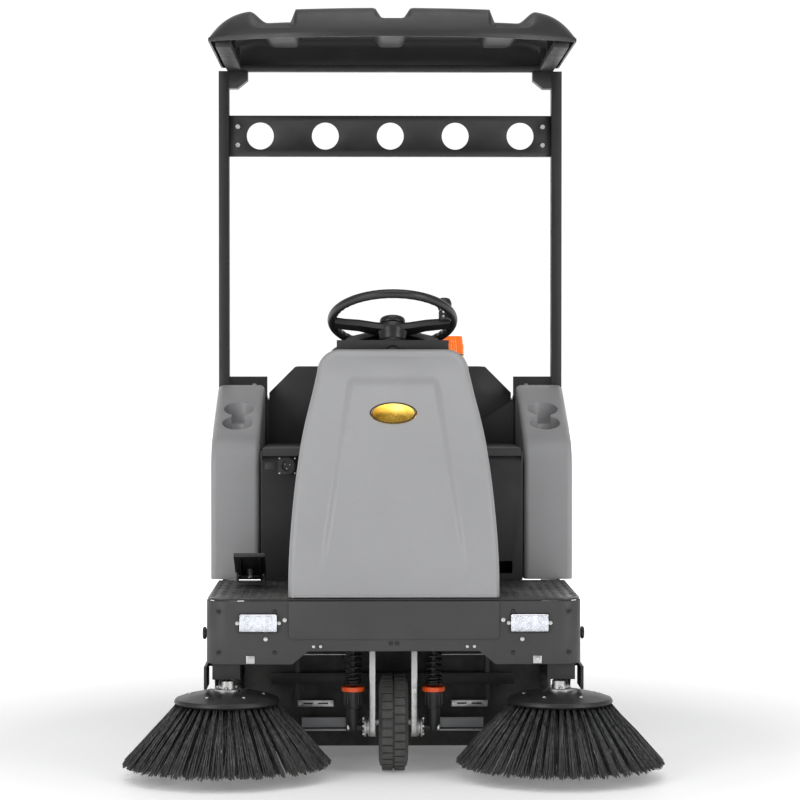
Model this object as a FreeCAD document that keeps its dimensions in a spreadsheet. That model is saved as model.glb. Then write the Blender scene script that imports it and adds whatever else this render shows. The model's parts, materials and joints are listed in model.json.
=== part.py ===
"""Ride-on sweeper: a battery machine with two side brushes, a main roller brush and a roof.

Millimetres. +Z is up, the front faces -Y, and +X is the driver's left.
The origin is on the floor, under the centre of the machine's box.
"""
import FreeCAD, Part
import math
import os
import re
import Sketcher

V = FreeCAD.Vector

doc = FreeCAD.newDocument("RideOnSweeper")
dims = doc.addObject("Spreadsheet::Sheet", "Dims")

DRIVING = {
    # front sheet metal and deck
    "front_y": -600, "bumper_half": 483, "bumper_low": 299, "bumper_top": 462, "bumper_depth": 135,
    "bumper_round": 58, "sheet": 5, "notch_low_half": 261, "notch_top_half": 220, "notch_top": 333,
    "fascia_half": 270, "fascia_low": 364, "deck_top": 468, "deck_half": 480, "deck_end": -52,
    # cowl
    "cowl_back": -300, "cowl_low": 470, "cowl_top": 1108, "cowl_half": 272,
    # seat box, side covers and rear cover
    "box_front": -50, "box_half": 364, "box_back": 416, "box_top": 812, "lid_top": 835,
    "cover_in": 367, "cover_out": 503, "cover_low": 470, "cover_top": 1010, "cover_back": 350,
    "rear_front": 422, "rear_back": 785, "rear_top": 1059, "rear_low": 472, "rear_shoulder": 960,
    # roof
    "post_out": 503, "post_wide": 30, "post_front": 360, "post_deep": 50, "post_low": 972,
    "post_top": 1925, "bar_low": 1677, "bar_high": 1797, "bar_hole": 39.5, "bar_pitch": 191,
    "roof_half": 497, "roof_front": -350, "roof_back": 450, "roof_low": 1938, "roof_top": 2022,
    # frame
    "rail_in": 330, "rail_out": 370, "rail_low": 395, "rail_high": 455, "rail_front": -540,
    # front wheel and fork
    "fork_y": -425, "wheel_radius": 128, "fork_plate_in": 48, "fork_plate": 14,
    "shock_x": 106, "crown_low": 364, "king_radius": 20, "run_gap": 0.05,
    "tie_down_x": 405, "tie_down_y": 773, "tie_down_radius": 10.5,
    "lid_hinge_y": -62, "lid_hinge_z": 819,
    # rear wheels
    "rear_axle_y": 330, "rear_radius": 150, "rear_wheel_x": 425,
    # side brushes
    "brush_x": 432, "brush_y": -525, "disc_radius": 137, "disc_low": 190, "bristle_low": 30,
    "bristle_reach": 273, "arm_pivot_y": -330, "arm_pivot_z": 346,
    # main brush, its tunnel and the hopper
    "tunnel_half": 369, "tunnel_front": -30, "tunnel_back": 385, "tunnel_top": 385,
    "roller_y": 230, "roller_z": 160, "roller_radius": 135, "roller_half": 338,
    "roller_pivot_y": 10, "roller_pivot_z": 330,
    "hopper_half": 322, "hopper_front": 400, "hopper_back": 779, "hopper_low": 50, "hopper_top": 388,
    # steering wheel, measured in its own tilted frame
    "steer_y": -225, "steer_z": 1186, "steer_tilt": 25, "steer_ring": 163.5, "steer_tube": 12.5,
    "knob_x": 140, "knob_y": -26,
    # seat
    "seat_half": 190, "seat_front": 20, "seat_back": 340,
    # beacon
    "beacon_x": 175, "beacon_y": 480,
}


def fill_sheet():
    """Put each driving dimension in a cell of its own, under its alias."""
    for row, (alias, amount) in enumerate(DRIVING.items(), start=1):
        dims.set("A%d" % row, alias)
        dims.set("B%d" % row, str(amount))
        dims.setAlias("B%d" % row, alias)
    doc.recompute()


def ref(text):
    """An expression in sheet aliases, written the way a property binding needs it."""
    return re.sub(r"[a-z][a-z_]+", lambda word: expand(word.group(0)), str(text))


def expand(word):
    return "Dims." + word if word in DRIVING else word


def number(text):
    return float(dims.evalExpression(ref(text)))


def bind(target, prop, text):
    target.setExpression(prop, ref(text))


def spot(target, x="0", y="0", z="0"):
    for letter, text in zip("xyz", (x, y, z)):
        bind(target, "Placement.Base." + letter, text)
    return target


def less(high, low):
    return "(%s) - (%s)" % (high, low)


def block(name, span_x, span_y, span_z):
    """A box from its low and high faces along each axis."""
    piece = doc.addObject("Part::Box", name)
    for prop, span in zip(("Length", "Width", "Height"), (span_x, span_y, span_z)):
        bind(piece, prop, less(span[1], span[0]))
    return spot(piece, span_x[0], span_y[0], span_z[0])


TURN_TO = {
    "X": FreeCAD.Rotation(V(0, 1, 0), 90),
    "Y": FreeCAD.Rotation(V(1, 0, 0), -90),
    "Z": FreeCAD.Rotation(),
}


def rod(name, axis, radius, across, span):
    """A cylinder along X, Y or Z: its two cross coordinates in X, Y, Z order, and its two ends."""
    piece = doc.addObject("Part::Cylinder", name)
    piece.Placement = FreeCAD.Placement(V(0, 0, 0), TURN_TO[axis])
    bind(piece, "Radius", radius)
    bind(piece, "Height", less(span[1], span[0]))
    where = list(across)
    where.insert("XYZ".index(axis), span[0])
    return spot(piece, *where)


def cone(name, low_radius, high_radius, across, span):
    piece = doc.addObject("Part::Cone", name)
    bind(piece, "Radius1", low_radius)
    bind(piece, "Radius2", high_radius)
    bind(piece, "Height", less(span[1], span[0]))
    return spot(piece, across[0], across[1], span[0])


def fuse(name, pieces):
    joined = doc.addObject("Part::MultiFuse", name)
    joined.Shapes = pieces
    return joined


def cut(name, base, tools):
    result = doc.addObject("Part::Cut", name)
    result.Base = base
    result.Tool = tools[0] if len(tools) == 1 else fuse(name + "_tools", tools)
    return result


def group(name, pieces):
    """Separate solids that share one node."""
    together = doc.addObject("Part::Compound", name)
    together.Links = pieces
    return together


def tube(name, axis, outer, inner, across, span):
    wall = rod(name + "_wall", axis, outer, across, span)
    past = ("(%s) - 1" % span[0], "(%s) + 1" % span[1])
    return cut(name, wall, [rod(name + "_bore", axis, inner, across, past)])


def mirrored(side, low, high):
    """A span of X on the driver's left (side 1) or right (side -1)."""
    if side > 0:
        return (str(low), str(high))
    return ("-(%s)" % high, "-(%s)" % low)


def new_body(name):
    return doc.addObject("PartDesign::Body", name)


def origin_plane(body, role):
    return [item for item in body.Origin.OriginFeatures if item.Role == role][0]


def outline(body, role, points, level="0"):
    """A closed outline of straight edges whose corners are held by sheet expressions."""
    sketch = body.newObject("Sketcher::SketchObject", body.Name + "_outline")
    sketch.AttachmentSupport = [(origin_plane(body, role), "")]
    sketch.MapMode = "FlatFace"
    outward = "-(%s)" % level if role == "XZ_Plane" else level
    bind(sketch, "AttachmentOffset.Base.z", outward)
    places = [(number(across), number(up)) for across, up in points]
    count = len(places)
    for index in range(count):
        start, end = places[index], places[(index + 1) % count]
        sketch.addGeometry(Part.LineSegment(V(start[0], start[1], 0), V(end[0], end[1], 0)))
    for index in range(count):
        sketch.addConstraint(Sketcher.Constraint("Coincident", index, 2, (index + 1) % count, 1))
    for index, (across, up) in enumerate(points):
        for kind, text, start in (("DistanceX", across, places[index][0]),
                                  ("DistanceY", up, places[index][1])):
            held = sketch.addConstraint(Sketcher.Constraint(kind, -1, 1, index, 1, start))
            bind(sketch, "Constraints[%d]" % held, text)
    return sketch


def pad(body, sketch, length, centred=False, back=False):
    feature = body.newObject("PartDesign::Pad", body.Name + "_pad")
    feature.Profile = sketch
    bind(feature, "Length", length)
    feature.SideType = "Symmetric" if centred else "One side"
    feature.Reversed = back
    return feature


def pocket(body, sketch, length, centred=True, back=False):
    feature = body.newObject("PartDesign::Pocket", body.Name + "_pocket")
    feature.Profile = sketch
    bind(feature, "Length", length)
    feature.SideType = "Symmetric" if centred else "One side"
    feature.Reversed = back
    return feature


def revolve(body, sketch, axis):
    feature = body.newObject("PartDesign::Revolution", body.Name + "_turn")
    feature.Profile = sketch
    feature.ReferenceAxis = (sketch, [axis])
    feature.Angle = 360
    return feature


def edge_names(shape, test):
    return ["Edge%d" % (index + 1) for index, edge in enumerate(shape.Edges) if test(edge)]


def rounded(body, radius, test):
    """Fillet the edges of the body's last feature that pass the test."""
    doc.recompute()
    last = body.Tip
    feature = body.newObject("PartDesign::Fillet", body.Name + "_round")
    feature.Base = (last, edge_names(last.Shape, test))
    bind(feature, "Radius", radius)
    return feature


def runs_along(edge, axis):
    """True for a straight edge that is parallel to the axis vector."""
    if not isinstance(edge.Curve, Part.Line) and not isinstance(edge.Curve, Part.LineSegment):
        return False
    return abs(abs(edge.tangentAt(edge.FirstParameter).dot(axis)) - 1) < 1e-6


def rectangle(low_x, high_x, low_y, high_y):
    return [(low_x, low_y), (high_x, low_y), (high_x, high_y), (low_x, high_y)]


# ---- frame, deck and front ---------------------------------------------------------------------

def main_frame():
    """Two rails, cross members, the head tube's plate, hanger ears and tie-down plates."""
    pieces = []
    for side in (1, -1):
        hand = "left" if side > 0 else "right"
        pieces.append(block("rail_" + hand, mirrored(side, "rail_in", "rail_out"),
                            ("rail_front", "rear_back - 5"), ("rail_low", "rail_high")))
        for inner, outer in (("rail_out - 1", 396), (464, 470)):
            pieces.append(block("ear_%s_%s" % (hand, outer), mirrored(side, inner, outer),
                                ("arm_pivot_y - 22", "arm_pivot_y + 22"), ("322", "rail_high - 5")))
        pieces.append(block("ear_top_" + hand, mirrored(side, "rail_out - 1", 470),
                            ("arm_pivot_y - 22", "arm_pivot_y + 22"), ("rail_high - 15", "rail_high")))
        pieces.append(block("roller_ear_" + hand, mirrored(side, 353, 362),
                            ("roller_pivot_y - 25", "roller_pivot_y + 25"), ("305", "rail_low + 1")))
        pieces.append(block("tie_down_" + hand, mirrored(side, "rail_out - 1", "tie_down_x + 35"),
                            ("tie_down_y - 75", "tie_down_y + 24"), ("rail_high - 12", "rail_high")))
    for name, low, high in (("front", "rail_front", "rail_front + 40"),
                            ("head_a", "fork_y - 75", "fork_y - 35"),
                            ("head_b", "fork_y + 35", "fork_y + 75"),
                            ("middle", -60, -20), ("rear", "rear_front + 28", "rear_front + 68")):
        pieces.append(block("cross_" + name, ("-rail_in - 1", "rail_in + 1"), (low, high),
                            ("rail_low", "rail_high")))
    pieces.append(block("head_plate", (-80, 80), ("fork_y - 60", "fork_y + 60"), (400, 452)))
    joined = fuse("frame_solid", pieces)
    bores = [rod("head_bore", "Z", "king_radius + run_gap", ("0", "fork_y"), (380, 470))]
    for side in (1, -1):
        bores.append(rod("tie_down_hole%d" % side, "Z", "tie_down_radius",
                         ("%d * tie_down_x" % side, "tie_down_y"), (430, 470)))
        bores.append(rod("arm_bore%d" % side, "X", "9 + run_gap", ("arm_pivot_y", "arm_pivot_z"),
                         mirrored(side, "rail_out + 8", 480)))
        bores.append(rod("roller_bore%d" % side, "X", "9 + run_gap",
                         ("roller_pivot_y", "roller_pivot_z"), mirrored(side, 340, 366)))
    return cut("main_frame", joined, bores)


def nose_plan(half, front, radius, steps=6):
    """A plan outline with its two front corners rounded in short straight steps."""
    corner = []
    for step in range(steps + 1):
        turn = math.radians(90 * step / steps)
        corner.append(("%s - (%s) * %.5f" % (half, radius, 1 - math.cos(turn)),
                       "%s + (%s) * %.5f" % (front, radius, 1 - math.sin(turn))))
    left = [("-(%s)" % across, deep) for across, deep in reversed(corner)]
    back = "front_y + bumper_depth + 10"
    return corner + left + [("-(%s)" % half, back), (half, back)]


def front_bumper():
    """Folded sheet round the nose, with a raised middle in its lower edge."""
    body = new_body("front_bumper")
    plan = outline(body, "XY_Plane", rectangle("-bumper_half", "bumper_half", "front_y",
                                               "front_y + bumper_depth"), "bumper_low")
    pad(body, plan, "bumper_top - bumper_low")
    rounded(body, "bumper_round", lambda edge: runs_along(edge, V(0, 0, 1))
            and edge.CenterOfMass.y < number("front_y + 1"))
    hollow = outline(body, "XY_Plane", nose_plan("bumper_half - sheet", "front_y + sheet",
                                                 "bumper_round - sheet"), "bumper_low")
    pocket(body, hollow, "1000")
    notch = outline(body, "XZ_Plane",
                    [("-notch_low_half", "bumper_low - 10"), ("notch_low_half", "bumper_low - 10"),
                     ("notch_low_half", "bumper_low"), ("notch_top_half", "notch_top"),
                     ("-notch_top_half", "notch_top"), ("-notch_low_half", "bumper_low")],
                    "front_y")
    pocket(body, notch, "60")
    return body


def fascia_plate():
    body = new_body("fascia_plate")
    face = outline(body, "XZ_Plane", rectangle("-fascia_half", "fascia_half", "fascia_low",
                                               "bumper_top"), "front_y")
    pad(body, face, "4")
    rounded(body, "12", lambda edge: runs_along(edge, V(0, 1, 0)) and edge.CenterOfMass.z < 400)
    return body


def pedal_ears(name, centre_x):
    """Two ears and a foot on the deck, which carry a pedal's pin."""
    parts = [block(name + "_foot", ("%s - 40" % centre_x, "%s + 40" % centre_x), (-190, -120),
                   ("deck_top - 1", "deck_top + 5"))]
    for index, low in enumerate((-40, 34)):
        parts.append(block("%s_ear%d" % (name, index),
                           ("%s + %d" % (centre_x, low), "%s + %d" % (centre_x, low + 6)),
                           (-172, -138), ("deck_top", "deck_top + 32")))
    return parts


def deck_plate():
    """The tread-plate floor, with the pedal's ears welded on."""
    body = new_body("deck_sheet")
    plan = outline(body, "XY_Plane", rectangle("-deck_half", "deck_half", "front_y + 3", "deck_end"),
                   "deck_top - sheet")
    pad(body, plan, "sheet")
    rounded(body, "bumper_round - 3", lambda edge: runs_along(edge, V(0, 0, 1))
            and edge.CenterOfMass.y < -590)
    hole = rod("pedal_bore", "X", "5 + run_gap", (-155, "deck_top + 20"), (-446, -326))
    return cut("deck_plate", fuse("deck_solid", [body] + pedal_ears("accelerator", -386)), [hole])


def cowl_profile(inset):
    """The cowl's side view: a face that leans back as it rises, moved inwards by the inset."""
    front = [(-592, 470), (-580, 600), (-542, 750), (-492, 885), (-440, 985), (-388, 1060),
             (-352, 1096), (-332, 1108)]
    past = 60 if inset else 0
    points = [("%d + %d" % (deep, inset), "%d - %d" % (up, inset)) for deep, up in front[1:]]
    foot = [("%d + %d" % (front[0][0], inset), "cowl_low - %d" % past)]
    return foot + points + [("cowl_back + %d" % past, "cowl_top - %d" % inset),
                            ("cowl_back + %d" % past, "cowl_low - %d" % past)]


def cowl_sides(side, inset):
    """What is trimmed off one side, so that the cowl narrows upwards."""
    edge = [(272, 545), (260, 700), (253, 800), (237, 885), (215, 985), (198, 1060), (180, 1094),
            (150, 1112)]
    points = [("%g" % (side * (across - inset)), "%g" % up) for across, up in edge]
    return points + [("%g" % (side * 320), "1112"), ("%g" % (side * 320), "545")]


def cowl_form(name, inset):
    body = new_body(name)
    pad(body, outline(body, "YZ_Plane", cowl_profile(inset)), "2 * (cowl_half - %d)" % inset,
        centred=True)
    for side in (1, -1):
        pocket(body, outline(body, "XZ_Plane", cowl_sides(side, inset)), "3000")
    return body


def front_cowl():
    """The moulded shell round the steering column, open below and at the back."""
    return cut("front_cowl", cowl_form("cowl_outside", 0),
               [cowl_form("cowl_inside", 5), column_passage("cowl")])


def cowl_badge():
    """A plain oval plate, domed, on the cowl's leaning face."""
    piece = doc.addObject("Part::Ellipsoid", "cowl_badge")
    piece.Radius1 = 4
    piece.Radius2 = 62.5
    piece.Radius3 = 31.5
    piece.Angle1 = 0
    piece.Placement = FreeCAD.Placement(V(0, -463.7, 940.1), FreeCAD.Rotation(V(1, 0, 0), 62.5))
    return piece


def steering_line():
    """A placement whose local Z runs up the steering column to the wheel's centre."""
    turn = FreeCAD.Rotation(V(1, 0, 0), -number("steer_tilt"))
    return FreeCAD.Placement(V(0, number("steer_y"), number("steer_z")), turn)


def on_steering_line(piece):
    """Tilt a finished piece that was built round the wheel's centre."""
    turn = steering_line()
    piece.Placement = turn
    bind(piece, "Placement.Base.y", "steer_y")
    bind(piece, "Placement.Base.z", "steer_z")
    return piece


def column_passage(name):
    """The room that the column's collar and the wheel's hub take out of a piece."""
    low = rod(name + "_collar_room", "Z", 39, (0, 0), (-420, -40))
    high = rod(name + "_hub_room", "Z", 39, (0, 0), (-60, 60))
    return on_steering_line(fuse(name + "_passage", [low, high]))


def dash_console():
    """The dash box at the top of the cowl's open back."""
    box = block("dash_box", (-150, 150), ("cowl_back + 1", -180), (960, 1133))
    hollow = block("dash_hollow", (-146, 146), ("cowl_back + 5", -184), (964, 1129))
    return cut("dash_console", box, [hollow, column_passage("dash")])


def console_panel():
    """The flat panel that closes the cowl's back below the dash box."""
    body = new_body("console_panel")
    edge = [(262, 474), (262, 545), (250, 700), (242, 800), (228, 885), (208, 959)]
    points = [("%g" % across, "%g" % up) for across, up in edge]
    points += [("%g" % -across, "%g" % up) for across, up in reversed(edge)]
    pad(body, outline(body, "XZ_Plane", points, "cowl_back + 1"), "4", back=True)
    return body


def steering_column():
    column = fuse("column_solid", [rod("column_tube", "Z", 25, (0, 0), (-560, -100)),
                                   rod("column_collar", "Z", 36.5, (0, 0), (-150, -66)),
                                   rod("column_shaft", "Z", 10, (0, 0), (-80, -24))])
    return on_steering_line(column)


def side_cover(side):
    """A moulded cover beside the seat, with two joined cup recesses in its slope."""
    name = "side_cover_left" if side > 0 else "side_cover_right"
    body = new_body(name + "_shell")
    profile = [("box_front", "cover_low"), ("box_front", 770), (-42, 812), (-16, 850), (20, 876),
               ("cover_back - 40", "cover_top - 4"), ("cover_back", "cover_top"),
               ("cover_back", "cover_low")]
    level = "cover_in" if side > 0 else "-cover_out"
    pad(body, outline(body, "YZ_Plane", profile, level), "cover_out - cover_in")
    rounded(body, "16", lambda edge: not runs_along(edge, V(1, 0, 0))
            and edge.CenterOfMass.z > 500 and edge.CenterOfMass.y < 330)
    hollow = outline(body, "YZ_Plane",
                     [(-44, 460), (-44, 770), (-10, 795), (290, 915), (345, 925), (345, 460)],
                     "cover_in + 5" if side > 0 else "-cover_out + 5")
    pocket(body, hollow, "cover_out - cover_in - 10", centred=False, back=True)
    middle = "%d * (cover_in + cover_out) / 2" % side
    cups = [rod("%s_cup%d" % (name, along), "Z", 42.5, (middle, along), (low, low + 120))
            for along, low in ((85, 858), (174, 896))]
    neck = block(name + "_neck", ("%s - 20" % middle, "%s + 20" % middle), (85, 174), (896, 990))
    return cut(name, body, cups + [neck])


def battery_box():
    """Folded box under the seat lid, open at the top and the bottom."""
    wall = block("box_wall", ("-box_half", "box_half"), ("box_front", "box_back"),
                 ("deck_top", "box_top"))
    inside = block("box_inside", ("-box_half + 4", "box_half - 4"), ("box_front + 4", "box_back - 4"),
                   ("deck_top + 4", "box_top + 5"))
    hand_hole = block("hand_hole", (265, 335), ("box_front - 5", "box_front + 6"), (486, 520))
    lugs = [block("hinge_lug%d" % side, mirrored(side, "box_half - 5.4", "box_half"),
                  ("lid_hinge_y - 7", "box_front + 3"), ("box_top - 12", "lid_hinge_z + 7"))
            for side in (1, -1)]
    bores = [rod("hinge_bore%d" % side, "X", "4 + run_gap", ("lid_hinge_y", "lid_hinge_z"),
                 mirrored(side, "box_half - 8", "box_half + 2")) for side in (1, -1)]
    return cut("battery_box", fuse("box_solid", [wall, *lugs]), [inside, hand_hole, *bores])


def batteries():
    """Four traction batteries in a row, each with its two posts."""
    units = []
    for index in range(4):
        centre = -264 + 176 * index
        parts = [block("battery_case%d" % index, (centre - 84, centre + 84), (60, 310),
                       ("deck_top + 5", 740))]
        for post in (-50, 50):
            parts.append(rod("battery_post%d_%d" % (index, post), "Z", 9, (centre + post, 90),
                             (735, 756)))
        units.append(fuse("battery%d" % index, parts))
    return group("batteries", units)


def charge_socket():
    plate = block("socket_flange", (-316, -264), ("box_front - 4", "box_front"), (761, 813 - 2))
    barrel = rod("socket_barrel", "Y", 22, (-290, 786), ("box_front - 16", "box_front - 3"))
    mouth = rod("socket_mouth", "Y", 15, (-290, 786), ("box_front - 20", "box_front - 6"))
    return cut("charge_socket", fuse("socket_solid", [plate, barrel]), [mouth])


def rear_cover():
    """Steel housing over the filter and hopper, with a raised, chamfered middle."""
    body = new_body("rear_cover")
    profile = [("-cover_out + 4", "rear_low"), ("cover_out - 4", "rear_low"),
               ("cover_out - 4", "rear_shoulder"), (358, "rear_shoulder"), (358, 982),
               (281, "rear_top"), (-281, "rear_top"), (-358, 982), (-358, "rear_shoulder"),
               ("-cover_out + 4", "rear_shoulder")]
    pad(body, outline(body, "XZ_Plane", profile, "rear_back"), "rear_back - rear_front")
    for side in (1, -1):
        edge = mirrored(side, "box_half + 2", "cover_out - 4")
        pad(body, outline(body, "XZ_Plane", rectangle(edge[0], edge[1], "rear_low",
                                                      "rear_shoulder"), "rear_front + 1"),
            "rear_front - cover_back - 3")
    inside = [("-cover_out + 8", "rear_low - 5"), ("cover_out - 8", "rear_low - 5"),
              ("cover_out - 8", "rear_shoulder - 4"), (354, "rear_shoulder - 4"), (354, 980),
              (279, "rear_top - 4"), (-279, "rear_top - 4"), (-354, 980),
              (-354, "rear_shoulder - 4"), ("-cover_out + 8", "rear_shoulder - 4")]
    pocket(body, outline(body, "XZ_Plane", inside, "rear_back - 4"),
           "rear_back - rear_front - 8", centred=False, back=True)
    return body


def dust_filter():
    """A pleated panel filter over the hopper: a frame and its pleats."""
    parts = [block("filter_frame", (-280, 280), (450, 740), (500, 530))]
    for index in range(14):
        low = -270 + 39 * index
        parts.append(block("pleat%d" % index, (low, low + 20), (456, 734), (529, 620)))
    return fuse("dust_filter", parts)


def vacuum_fan():
    """The suction fan's scroll and its motor, over the filter."""
    return fuse("vacuum_fan", [rod("fan_scroll", "Z", 130, (120, 600), (700, 790)),
                               block("fan_outlet", (-60, 120), (660, 729), (705, 785)),
                               rod("fan_motor", "Z", 62, (120, 600), (789, 910))])


def side_panels():
    """Lower side sheets with the rear wheels' arches cut out."""
    sheets = []
    for side in (1, -1):
        body = new_body("side_panel%s" % ("_left" if side > 0 else "_right"))
        level = "471" if side > 0 else "-476"
        profile = [(-345, 250), (-300, 190), (780, 190), (780, 460), (-345, 460)]
        pad(body, outline(body, "YZ_Plane", profile, level), "5")
        arch = rod("arch%d" % side, "X", 172, ("rear_axle_y", "rear_radius"),
                   mirrored(side, 460, 480))
        sheets.append(cut("side_sheet%d" % side, body, [arch]))
    return group("side_panels", sheets)


# ---- roof --------------------------------------------------------------------------------------

def roof_posts():
    """Two posts with welded base plates and a chamfered gusset under the roof."""
    sides = []
    for side in (1, -1):
        hand = "left" if side > 0 else "right"
        inner = "post_out - post_wide"
        parts = [block("post_tube_" + hand, mirrored(side, inner, "post_out"),
                       ("post_front", "post_front + post_deep"), ("post_low", "post_top")),
                 block("post_foot_" + hand, mirrored(side, 362, "cover_out - 8"),
                       ("post_front - 2", "post_front + 60"), ("rear_shoulder", "post_low + 1")),
                 block("post_web_" + hand, mirrored(side, 362, "post_out - 20"),
                       ("post_front + 21", "post_front + 29"), ("post_low", 1030))]
        body = new_body("gusset_" + hand)
        level = "post_front + 2"
        points = [("%d * (post_out - post_wide + 1)" % side, "post_top"),
                  ("%d * (post_out - post_wide - 55)" % side, "post_top"),
                  ("%d * (post_out - post_wide - 55)" % side, "post_top - 26"),
                  ("%d * (post_out - post_wide - 25)" % side, "post_top - 50"),
                  ("%d * (post_out - post_wide + 1)" % side, "post_top - 50")]
        pad(body, outline(body, "XZ_Plane", points, level), "46", back=True)
        sides.append(fuse("post_" + hand, parts + [body]))
    return group("roof_posts", sides)


def roof_crossbar():
    """Flanged sheet between the posts, with a row of five round holes."""
    half = "post_out - post_wide"
    parts = [block("bar_web", ("-(%s)" % half, half), (383, 387), ("bar_low", "bar_high"))]
    for low, high in (("bar_low", "bar_low + 4"), ("bar_high - 4", "bar_high")):
        parts.append(block("bar_flange_%s" % low[4:7], ("-(%s)" % half, half), (383, 408),
                           (low, high)))
    holes = [rod("bar_hole%d" % step, "Y", "bar_hole",
                 ("%d * bar_pitch" % step, "(bar_low + bar_high) / 2"), (370, 400))
             for step in range(-2, 3)]
    return cut("roof_crossbar", fuse("bar_solid", parts), holes)


def roof_rails():
    """Side tubes and a rear cross tube on the post tops, with spacers up to the canopy."""
    parts = []
    for side in (1, -1):
        hand = "left" if side > 0 else "right"
        parts.append(block("roof_rail_" + hand, mirrored(side, 438, 478),
                           ("roof_front + 135", "roof_back - 50"), ("post_top", "post_top + 20")))
        for index, low in enumerate((-205, 60, 300)):
            parts.append(block("spacer_%s%d" % (hand, index), mirrored(side, 438, 462),
                               (low, low + 30), ("post_top + 19", 1986)))
    parts.append(block("roof_cross", (-439, 439), ("roof_back - 75", "roof_back - 50"),
                       ("post_top", "post_top + 20")))
    return fuse("roof_rails", parts)


def roof_canopy():
    """A moulded tray, open below, with three scooped channels along its top."""
    body = new_body("canopy_tray")
    plan = [("-roof_half", "roof_front + 50"), ("-roof_half + 45", "roof_front"),
            ("roof_half - 45", "roof_front"), ("roof_half", "roof_front + 50"),
            ("roof_half", "roof_back - 40"), ("roof_half - 40", "roof_back"),
            ("-roof_half + 40", "roof_back"), ("-roof_half", "roof_back - 40")]
    pad(body, outline(body, "XY_Plane", plan, "roof_low"), "roof_top - roof_low")
    rounded(body, "30", lambda edge: edge.CenterOfMass.z > number("roof_top - 1"))
    inside = outline(body, "XY_Plane", rectangle("-roof_half + 16", "roof_half - 16",
                                                 "roof_front + 44", "roof_back - 27"), "roof_low")
    pocket(body, inside, "48", centred=False, back=True)
    scoops = [block("scoop%d" % at, (at - 62, at + 62), (-250, 350), (2000, 2030))
              for at in (-325, 0, 325)]
    return cut("roof_canopy", body, scoops)


# ---- lamps and beacon --------------------------------------------------------------------------

def lamp_pair(name, half_wide, half_high, low_y, high_y):
    lamps = []
    for side in (1, -1):
        lamps.append(block("%s%d" % (name, side),
                           ("%d * 348 - %g" % (side, half_wide), "%d * 348 + %g" % (side, half_wide)),
                           (low_y, high_y), (406 - half_high, 406 + half_high)))
    return lamps


def work_lamps():
    return group("work_lamps", lamp_pair("lamp_case", 48.5, 23, "front_y - 10", "front_y"))


def lamp_lenses():
    return group("lamp_lenses", lamp_pair("lamp_lens", 36, 19, "front_y - 14", "front_y - 10"))


def beacon_base():
    return fuse("beacon_base", [cone("beacon_skirt", 49.5, 47, ("beacon_x", "beacon_y"),
                                     ("rear_top", "rear_top + 26")),
                                rod("beacon_band", "Z", 45.5, ("beacon_x", "beacon_y"),
                                    ("rear_top + 25", "rear_top + 38"))])


def beacon_lens():
    outer = fuse("lens_outer", [cone("lens_low", 45, 44, ("beacon_x", "beacon_y"),
                                     ("rear_top + 38", "rear_top + 68")),
                                cone("lens_high", 42, 39, ("beacon_x", "beacon_y"),
                                     ("rear_top + 68", "rear_top + 91"))])
    inner = rod("lens_inner", "Z", 34, ("beacon_x", "beacon_y"), ("rear_top + 36", "rear_top + 86"))
    return cut("beacon_lens", outer, [inner])


# ---- brush tunnel, hopper and rollers ----------------------------------------------------------

def brush_tunnel():
    """The steel arch over the main brush, open below and towards the hopper."""
    shell = block("tunnel_shell", ("-tunnel_half", "tunnel_half"), ("tunnel_front", "tunnel_back"),
                  (90, "tunnel_top"))
    inside = block("tunnel_inside", ("-tunnel_half + 3.5", "tunnel_half - 3.5"),
                   ("tunnel_front + 4", "tunnel_back + 10"), (80, "tunnel_top - 4"))
    clearances = [block("roller_ear_slot%d" % side, mirrored(side, 351, 364),
                        ("roller_pivot_y - 28", "roller_pivot_y + 28"), (370, 400))
                  for side in (1, -1)]
    return cut("brush_tunnel", shell, [inside] + clearances)


def rubber_skirts():
    """Rubber flaps: one behind the front wheel, one at each side and one before the hopper."""
    flaps = [block("flap_front", (-400, 400), (-236, -230), (35, 394)),
             block("flap_tunnel", (-360, 360), ("tunnel_front - 6", "tunnel_front"), (14, 300))]
    for side in (1, -1):
        flaps.append(block("flap_side%d" % side, mirrored(side, 465, 470.5), (-215, 140), (16, 300)))
    return group("rubber_skirts", flaps)


def dust_hopper():
    """The debris bin: open at the top and at its throat, with a pull handle at the back."""
    bin_wall = block("hopper_wall", ("-hopper_half", "hopper_half"), ("hopper_front", "hopper_back"),
                     ("hopper_low", "hopper_top"))
    inside = block("hopper_inside", ("-hopper_half + 4", "hopper_half - 4"),
                   ("hopper_front + 4", "hopper_back - 4"), ("hopper_low + 4", "hopper_top + 5"))
    throat = block("hopper_throat", ("-hopper_half + 20", "hopper_half - 20"),
                   ("hopper_front - 5", "hopper_front + 8"), (190, "hopper_top - 25"))
    handle = fuse("hopper_pull", [block("pull_stem_a", (-90, -78), ("hopper_back - 1", 790), (268, 280)),
                                  block("pull_stem_b", (78, 90), ("hopper_back - 1", 790), (268, 280)),
                                  rod("pull_grip", "X", 8, (790, 274), (-100, 100))])
    return fuse("dust_hopper", [cut("hopper_bin", bin_wall, [inside, throat]), handle])


def rear_axle():
    """A hanger plate with a stub shaft and hub flange for each rear wheel."""
    stubs = []
    for side in (1, -1):
        hand = "left" if side > 0 else "right"
        across = ("rear_axle_y", "rear_radius")
        stubs.append(fuse("stub_" + hand, [
            block("hanger_" + hand, mirrored(side, "rail_out", "rail_out + 8"),
                  ("rear_axle_y - 60", "rear_axle_y + 60"), (100, "rail_high")),
            rod("hub_flange_" + hand, "X", 52, across, mirrored(side, "rail_out + 7", "rail_out + 16")),
            rod("stub_shaft_" + hand, "X", 14, across, mirrored(side, "rail_out + 7", 464))]))
    return group("rear_axle", stubs)


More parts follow.
